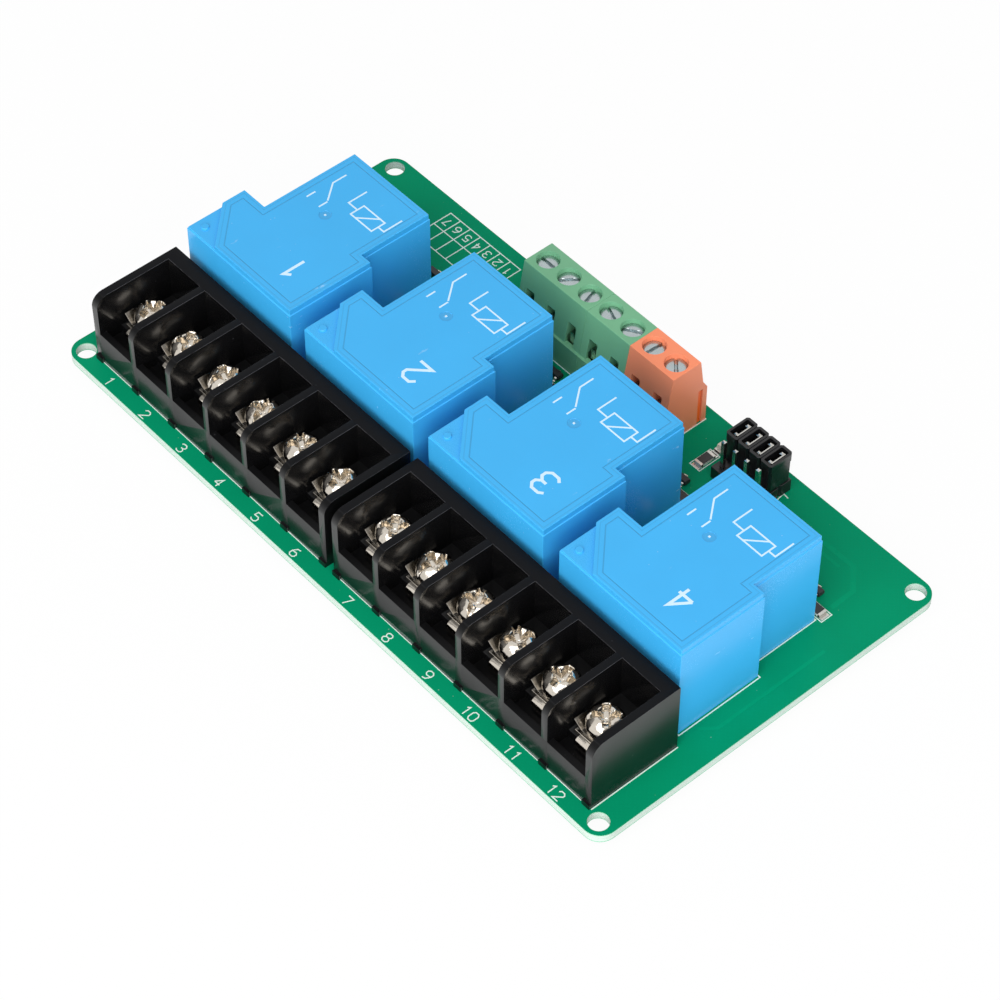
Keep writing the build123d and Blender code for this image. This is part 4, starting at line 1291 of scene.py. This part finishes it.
def header_pieces(look, sizes):
    """The jumper header, its pins, and the collared caps with their spring blades."""
    black = moulded_plastic("header_moulding", srgb(18, 18, 20), 0.42)
    soften("header_insulator", black, 0.08 * MM, 2)
    refinish("header_pins", pin_finish(look))
    plastic = moulded_plastic("cap_moulding", srgb(14, 14, 16), 0.36, 0.2 * MM, 6e-6)
    step, wall, end_wall = 0.11 * MM, 0.42 * MM, 0.52 * MM
    cut, inner = 0.34 * MM, 0.1 * MM
    collar, slope = 1.6 * MM, 0.15 * MM
    for n in range(1, 5):
        node = f"jumper_cap_{n}"
        low, high = box_of(node)
        x, y = (low[0] + high[0]) / 2, (low[1] + high[1]) / 2
        w, d = (high[0] - low[0]) / 2, (high[1] - low[1]) / 2
        z0, z1 = low[2], high[2]
        tube = sleeve(x, y, [
            (w - step, d - step, cut, z0),
            (w - step, d - step, cut, z1 - collar - slope),
            (w, d, cut, z1 - collar),
            (w, d, cut, z1),
            (w - wall, d - end_wall, inner, z1),
            (w - wall, d - end_wall, inner, z0),
        ])
        piece = add_piece(node + "_body", tube, plastic, replaces=(node,), smooth_angle=41.0)
        round_edges(piece, 0.07 * MM, 2)
    roof = box_of("jumper_cap_1")[1][2] - 0.25 * MM
    blades = [block(low, (*high[:2], roof)) for low, high in solid_boxes("jumper_clips")]
    metal = plated_metal("clip_plate", look.tin, 0.2)
    piece = add_piece("spring_blades", joined(blades), metal, replaces=("jumper_clips",))
    round_edges(piece, 0.05 * MM, 2)


# Driver parts


def gull_wing(x, y, width, inner, outer, shoulder, foot):
    """A lead that leaves a package at its shoulder and bends down to its foot on the board."""
    rise = shoulder - foot
    run = outer - inner
    sign = 1 if run > 0 else -1
    run = abs(run)
    r = min(0.22 * MM, rise / 3)
    path = np.array([
        (0, rise), (run * 0.28, rise), (run * 0.28 + r * 0.7, rise - r * 0.3),
        (run * 0.42 + r * 0.5, rise * 0.5), (run * 0.42 + r * 0.7, r * 0.4),
        (run * 0.42 + r * 1.7, 0), (run, 0),
    ])
    path[:, 0] = inner - y + path[:, 0] * sign
    return bent_strip(path, width, 0.16 * MM, (x, y, foot))


def package_pieces(name, node, material, metal, draft, waist, leads):
    """The moulded bodies of a node and their leads, given as x, side, width and reach."""
    bodies, wires = [], []
    reach = max(length for _, _, _, length in leads)
    for low, high in solid_boxes(node):
        near, far = low[1] + reach, high[1] - reach
        x, y = (low[0] + high[0]) / 2, (near + far) / 2
        bodies.append(moulded_body(
            (low[0], near, low[2] + 0.1 * MM), (high[0], far, high[2]), draft, waist
        ))
        shoulder = low[2] + 0.1 * MM + (high[2] - low[2]) * waist
        for dx, side, width, length in leads:
            start = y + side * ((far - near) / 2 - 0.15 * MM)
            end = y + side * ((far - near) / 2 + length)
            wires.append(gull_wing(x + dx, y, width, start, end, shoulder, low[2] + 0.09 * MM))
    moulded = add_piece(name + "_bodies", joined(bodies), material, replaces=(node,))
    round_edges(moulded, 0.07 * MM, 2, 20.0)
    add_piece(name + "_leads", joined(wires), metal)


def driver_pieces(look, sizes):
    """Optocouplers, transistors, diodes, chip resistors and indicators, with their pads."""
    black = moulded_plastic("package_moulding", srgb(30, 31, 34), 0.55, 0.1 * MM, 8e-6)
    tin = plated_metal("lead_tin", look.tin, 0.28)
    package_pieces("optocoupler", "optocouplers", black, tin, 0.22 * MM, 0.5, [
        (side * 1.27 * MM, end, 0.5 * MM, 1.5 * MM) for side in (-1, 1) for end in (-1, 1)
    ])
    package_pieces("transistor", "transistors", black, tin, 0.1 * MM, 0.5, [
        (x * MM, side, 0.4 * MM, 0.6 * MM) for x, side in ((-0.95, -1), (0.95, -1), (0, 1))
    ])
    diodes, tabs = [], []
    inner = 0.4 * MM
    for low, high in solid_boxes("flyback_diodes"):
        y = (low[1] + high[1]) / 2
        corner = (low[0] + inner, low[1], low[2] + 0.1 * MM)
        diodes.append(moulded_body(corner, (high[0] - inner, high[1], high[2]), 0.16 * MM, 0.5))
        for side, end in ((-1, low[0]), (1, high[0])):
            half = (high[2] - low[2]) / 2
            path = np.concatenate([
                [(end - side * 0.5 * MM, half), (end - side * 0.28 * MM, half)],
                [(end - side * 0.1 * MM, half * 0.85), (end - side * 0.09 * MM, 0.25 * MM)],
                [(end - side * 0.25 * MM, 0.09 * MM), (end - side * 1.1 * MM, 0.09 * MM)],
            ])
            tabs.append(bent_strip(path, 1.4 * MM, 0.16 * MM, (0, y, low[2]), "x"))
    moulded = add_piece("diode_bodies", joined(diodes), black, replaces=("flyback_diodes",))
    round_edges(moulded, 0.07 * MM, 2, 20.0)
    add_piece("diode_tabs", joined(tabs), tin)
    chip_pieces(look, tin)


def chip_pieces(look, tin):
    """Chip resistors with a dark film and end caps, indicators with a lens, and their pads."""
    film = moulded_plastic("resistor_film", srgb(24, 24, 27), 0.3, 0.08 * MM, 3e-6)
    ceramic = moulded_plastic("ceramic", srgb(226, 224, 214), 0.55, 0.1 * MM, 4e-6)
    films, cores, caps, lenses, bases, pads = [], [], [], [], [], []
    solder = TOP - 0.01 * MM, TOP + 0.05 * MM
    end_cap = 0.5 * MM
    for low, high in solid_boxes("chip_resistors"):
        along = 0 if high[0] - low[0] > high[1] - low[1] else 1
        inset = np.zeros(3)
        inset[along] = end_cap
        start, end = low + inset * 0.3, high - inset * 0.3
        cores.append(block(start + [0, 0, 0.02 * MM], end - [0, 0, 0.08 * MM]))
        start, end = low + inset, high - inset
        films.append(block((*start[:2], high[2] - 0.1 * MM), end - [0, 0, 0.01 * MM]))
        for side in (-1, 1):
            a, b = low.copy(), high.copy()
            if side < 0:
                b[along] = low[along] + end_cap
            else:
                a[along] = high[along] - end_cap
            caps.append(block(a, b))
            centre = (a + b) / 2
            centre[along] += side * 0.25 * MM
            wide = np.full(2, 1.7 * MM)
            wide[along] = 1.15 * MM
            pads.append(pad(*centre[:2], *wide, *solder))
    for low, high in solid_boxes("status_leds"):
        waist = low[2] + 0.35 * MM
        bases.append(block(low, (*high[:2], waist)))
        x0, y0 = low[:2] + [0.02 * MM, 0.38 * MM]
        x1, y1 = high[:2] - [0.02 * MM, 0.38 * MM]
        dx, dy = 0.08 * MM, 0.16 * MM
        lenses.append(stacked([
            (x0, y0, x1, y1, waist), (x0 + dx, y0 + dy, x1 - dx, y1 - dy, high[2]),
        ]))
        x = (low[0] + high[0]) / 2
        for side, y in ((-1, low[1]), (1, high[1])):
            front, back = sorted((y, y - side * 0.32 * MM))
            caps.append(block(
                (low[0] - 0.01 * MM, front, low[2]),
                (high[0] + 0.01 * MM, back, waist + 0.02 * MM),
            ))
            pads.append(pad(x, y + side * 0.2 * MM, 1.3 * MM, 0.9 * MM, *solder))
    films = add_piece("resistor_films", joined(films), film, replaces=("chip_resistors",))
    round_edges(films, 0.02 * MM, 2)
    add_piece("resistor_cores", joined(cores), ceramic)
    round_edges(add_piece("chip_end_caps", joined(caps), tin), 0.05 * MM, 2)
    resin = lens_finish(look)
    lenses = add_piece("indicator_lenses", joined(lenses), resin, replaces=("status_leds",))
    round_edges(lenses, 0.06 * MM, 2)
    add_piece("indicator_bases", joined(bases), ceramic)
    round_edges(add_piece("solder_pads", joined(pads), tin), 0.03 * MM, 2)


# Stage


def make_floor(look):
    """A pale floor that looks white, and keeps the shadow of the board."""
    half, thick = 1.6, 2 * MM
    form = block((-half, -half, FLOOR - thick), (half, half, FLOOR))
    f = Finish("floor", look.floor, {"Roughness": 0.6})
    cloud = f.noise(0.2, 2.0)
    f.done(Base_Color=f.mix(cloud * 0.2, look.floor, shade(look.floor, 0.97)))
    glow = f.node("ShaderNodeEmission", {}, {"Color": WHITE, "Strength": 1.0})
    plain = Wire(f, f.shader.outputs[0])
    mixed = f.node("ShaderNodeMixShader", {}, {0: f.seen() * 0.95, 1: plain, 2: glow})
    f.feed(f.output, {"Surface": mixed})
    mesh = mesh_of("floor", form)
    mesh.materials.append(f.material)
    linked("floor", mesh)


def make_sky(look):
    """An even light from all round, which the camera sees as white."""
    world = bpy.data.worlds.new("sky")
    g = Graph(world)
    ends = {"Value": g.seen(), "To Min": look.sky, "To Max": 1.0}
    level = g.node("ShaderNodeMapRange", {}, ends)
    g.feed(g.tree.nodes["Background"], {"Color": WHITE, "Strength": level})
    bpy.context.scene.world = world


def aimed(name, data, place, direction):
    """A lamp or a camera at a place, turned to look along a direction."""
    thing = linked(name, data)
    thing.location = place
    thing.rotation_euler = Vector(direction).to_track_quat("-Z", "Y").to_euler()
    return thing


def make_stage(look):
    """A pale floor, an even sky, one soft lamp and the camera."""
    make_floor(look)
    make_sky(look)

    lamp = bpy.data.lights.new("soft_lamp", "AREA")
    lamp.shape = "DISK"
    lamp.size = 1.3
    lamp.energy = look.lamp
    place = Vector((0.42, -0.58, 0.54))
    aimed("soft_lamp", lamp, place, -place)

    camera = bpy.data.cameras.new("view")
    camera.sensor_fit = "HORIZONTAL"
    camera.sensor_width = 36.0
    camera.lens = 121.66
    camera.clip_start = 0.01
    camera.clip_end = 10.0
    scene = bpy.context.scene
    scene.camera = aimed(
        "view", camera, (0.26623, -0.22923, 0.39872), (-0.49438, 0.43023, -0.75531)
    )
    scene.view_settings.view_transform = "Standard"


# Operators


class PieceMaker:
    """What the operators for the pieces have in common."""

    bl_options = {"REGISTER", "UNDO"}

    def execute(self, context):
        self.make(context.scene.board_look, context.scene.board_sizes)
        return {"FINISHED"}


class FinishBoard(PieceMaker, bpy.types.Operator):
    """Coat the board and solder its leads"""

    bl_idname = "relay_board.finish_board"
    bl_label = "Board"
    make = staticmethod(board_pieces)


class PrintLegend(PieceMaker, bpy.types.Operator):
    """Print the lines and numbers on the board"""

    bl_idname = "relay_board.print_legend"
    bl_label = "Legend"
    make = staticmethod(legend_pieces)


class FinishBarriers(PieceMaker, bpy.types.Operator):
    """Round and finish the barrier blocks"""

    bl_idname = "relay_board.finish_barriers"
    bl_label = "Barrier blocks"
    make = staticmethod(barrier_pieces)


class MakeLoadTerminals(PieceMaker, bpy.types.Operator):
    """Make the load screws, washers and contacts"""

    bl_idname = "relay_board.make_load_terminals"
    bl_label = "Load terminals"
    make = staticmethod(load_terminal_pieces)


class FinishCovers(PieceMaker, bpy.types.Operator):
    """Round and mark the relay covers"""

    bl_idname = "relay_board.finish_covers"
    bl_label = "Relay covers"
    make = staticmethod(cover_pieces)


class FinishInsides(PieceMaker, bpy.types.Operator):
    """Finish the pieces inside the relays"""

    bl_idname = "relay_board.finish_insides"
    bl_label = "Relay insides"
    make = staticmethod(relay_inside_pieces)


class MakeScrewTerminals(PieceMaker, bpy.types.Operator):
    """Round the screw terminals and make their screws"""

    bl_idname = "relay_board.make_screw_terminals"
    bl_label = "Screw terminals"
    make = staticmethod(terminal_pieces)


class FinishHeader(PieceMaker, bpy.types.Operator):
    """Round and finish the jumper header"""

    bl_idname = "relay_board.finish_header"
    bl_label = "Jumper header"
    make = staticmethod(header_pieces)


class MakeDrivers(PieceMaker, bpy.types.Operator):
    """Make the small driver parts and their pads"""

    bl_idname = "relay_board.make_drivers"
    bl_label = "Driver parts"
    make = staticmethod(driver_pieces)


class MakeStage(bpy.types.Operator):
    """Make the floor, the light and the camera"""

    bl_idname = "relay_board.make_stage"
    bl_label = "Stage"
    bl_options = {"REGISTER", "UNDO"}

    def execute(self, context):
        make_stage(context.scene.board_stage)
        return {"FINISHED"}


PIECE_OPERATORS = (
    FinishBoard, PrintLegend, FinishBarriers, MakeLoadTerminals, FinishCovers,
    FinishInsides, MakeScrewTerminals, FinishHeader, MakeDrivers, MakeStage,
)


class RelayBoardPanel(bpy.types.Panel):
    """Lists the steps, colours and sizes of the relay board"""

    bl_idname = "VIEW3D_PT_relay_board"
    bl_label = "Relay board"
    bl_space_type = "VIEW_3D"
    bl_region_type = "UI"
    bl_category = "Relay board"

    def draw(self, context):
        scene = context.scene
        steps = self.layout.column(align=True)
        for operator in PIECE_OPERATORS:
            steps.operator(operator.bl_idname)
        for group in (scene.board_look, scene.board_sizes, scene.board_stage):
            box = self.layout.box()
            for name in group.__annotations__:
                box.prop(group, name)


GROUPS = {"board_look": BoardLook, "board_sizes": BoardSizes, "board_stage": StageLook}
CLASSES = (*GROUPS.values(), *PIECE_OPERATORS, RelayBoardPanel)


def register():
    """Registers the classes and gives a scene its groups of colours and sizes."""
    for cls in CLASSES:
        bpy.utils.register_class(cls)
    for name, group in GROUPS.items():
        setattr(bpy.types.Scene, name, PointerProperty(type=group))


def unregister():
    """Takes the groups and the classes away again."""
    for name in GROUPS:
        delattr(bpy.types.Scene, name)
    for cls in reversed(CLASSES):
        bpy.utils.unregister_class(cls)


def main():
    """Makes every piece and the stage in order."""
    register()
    steps = bpy.ops.relay_board
    steps.make_stage()
    steps.finish_board()
    steps.print_legend()
    steps.finish_barriers()
    steps.make_load_terminals()
    steps.finish_covers()
    steps.finish_insides()
    steps.make_screw_terminals()
    steps.finish_header()
    steps.make_drivers()


if __name__ == "__main__":
    main()
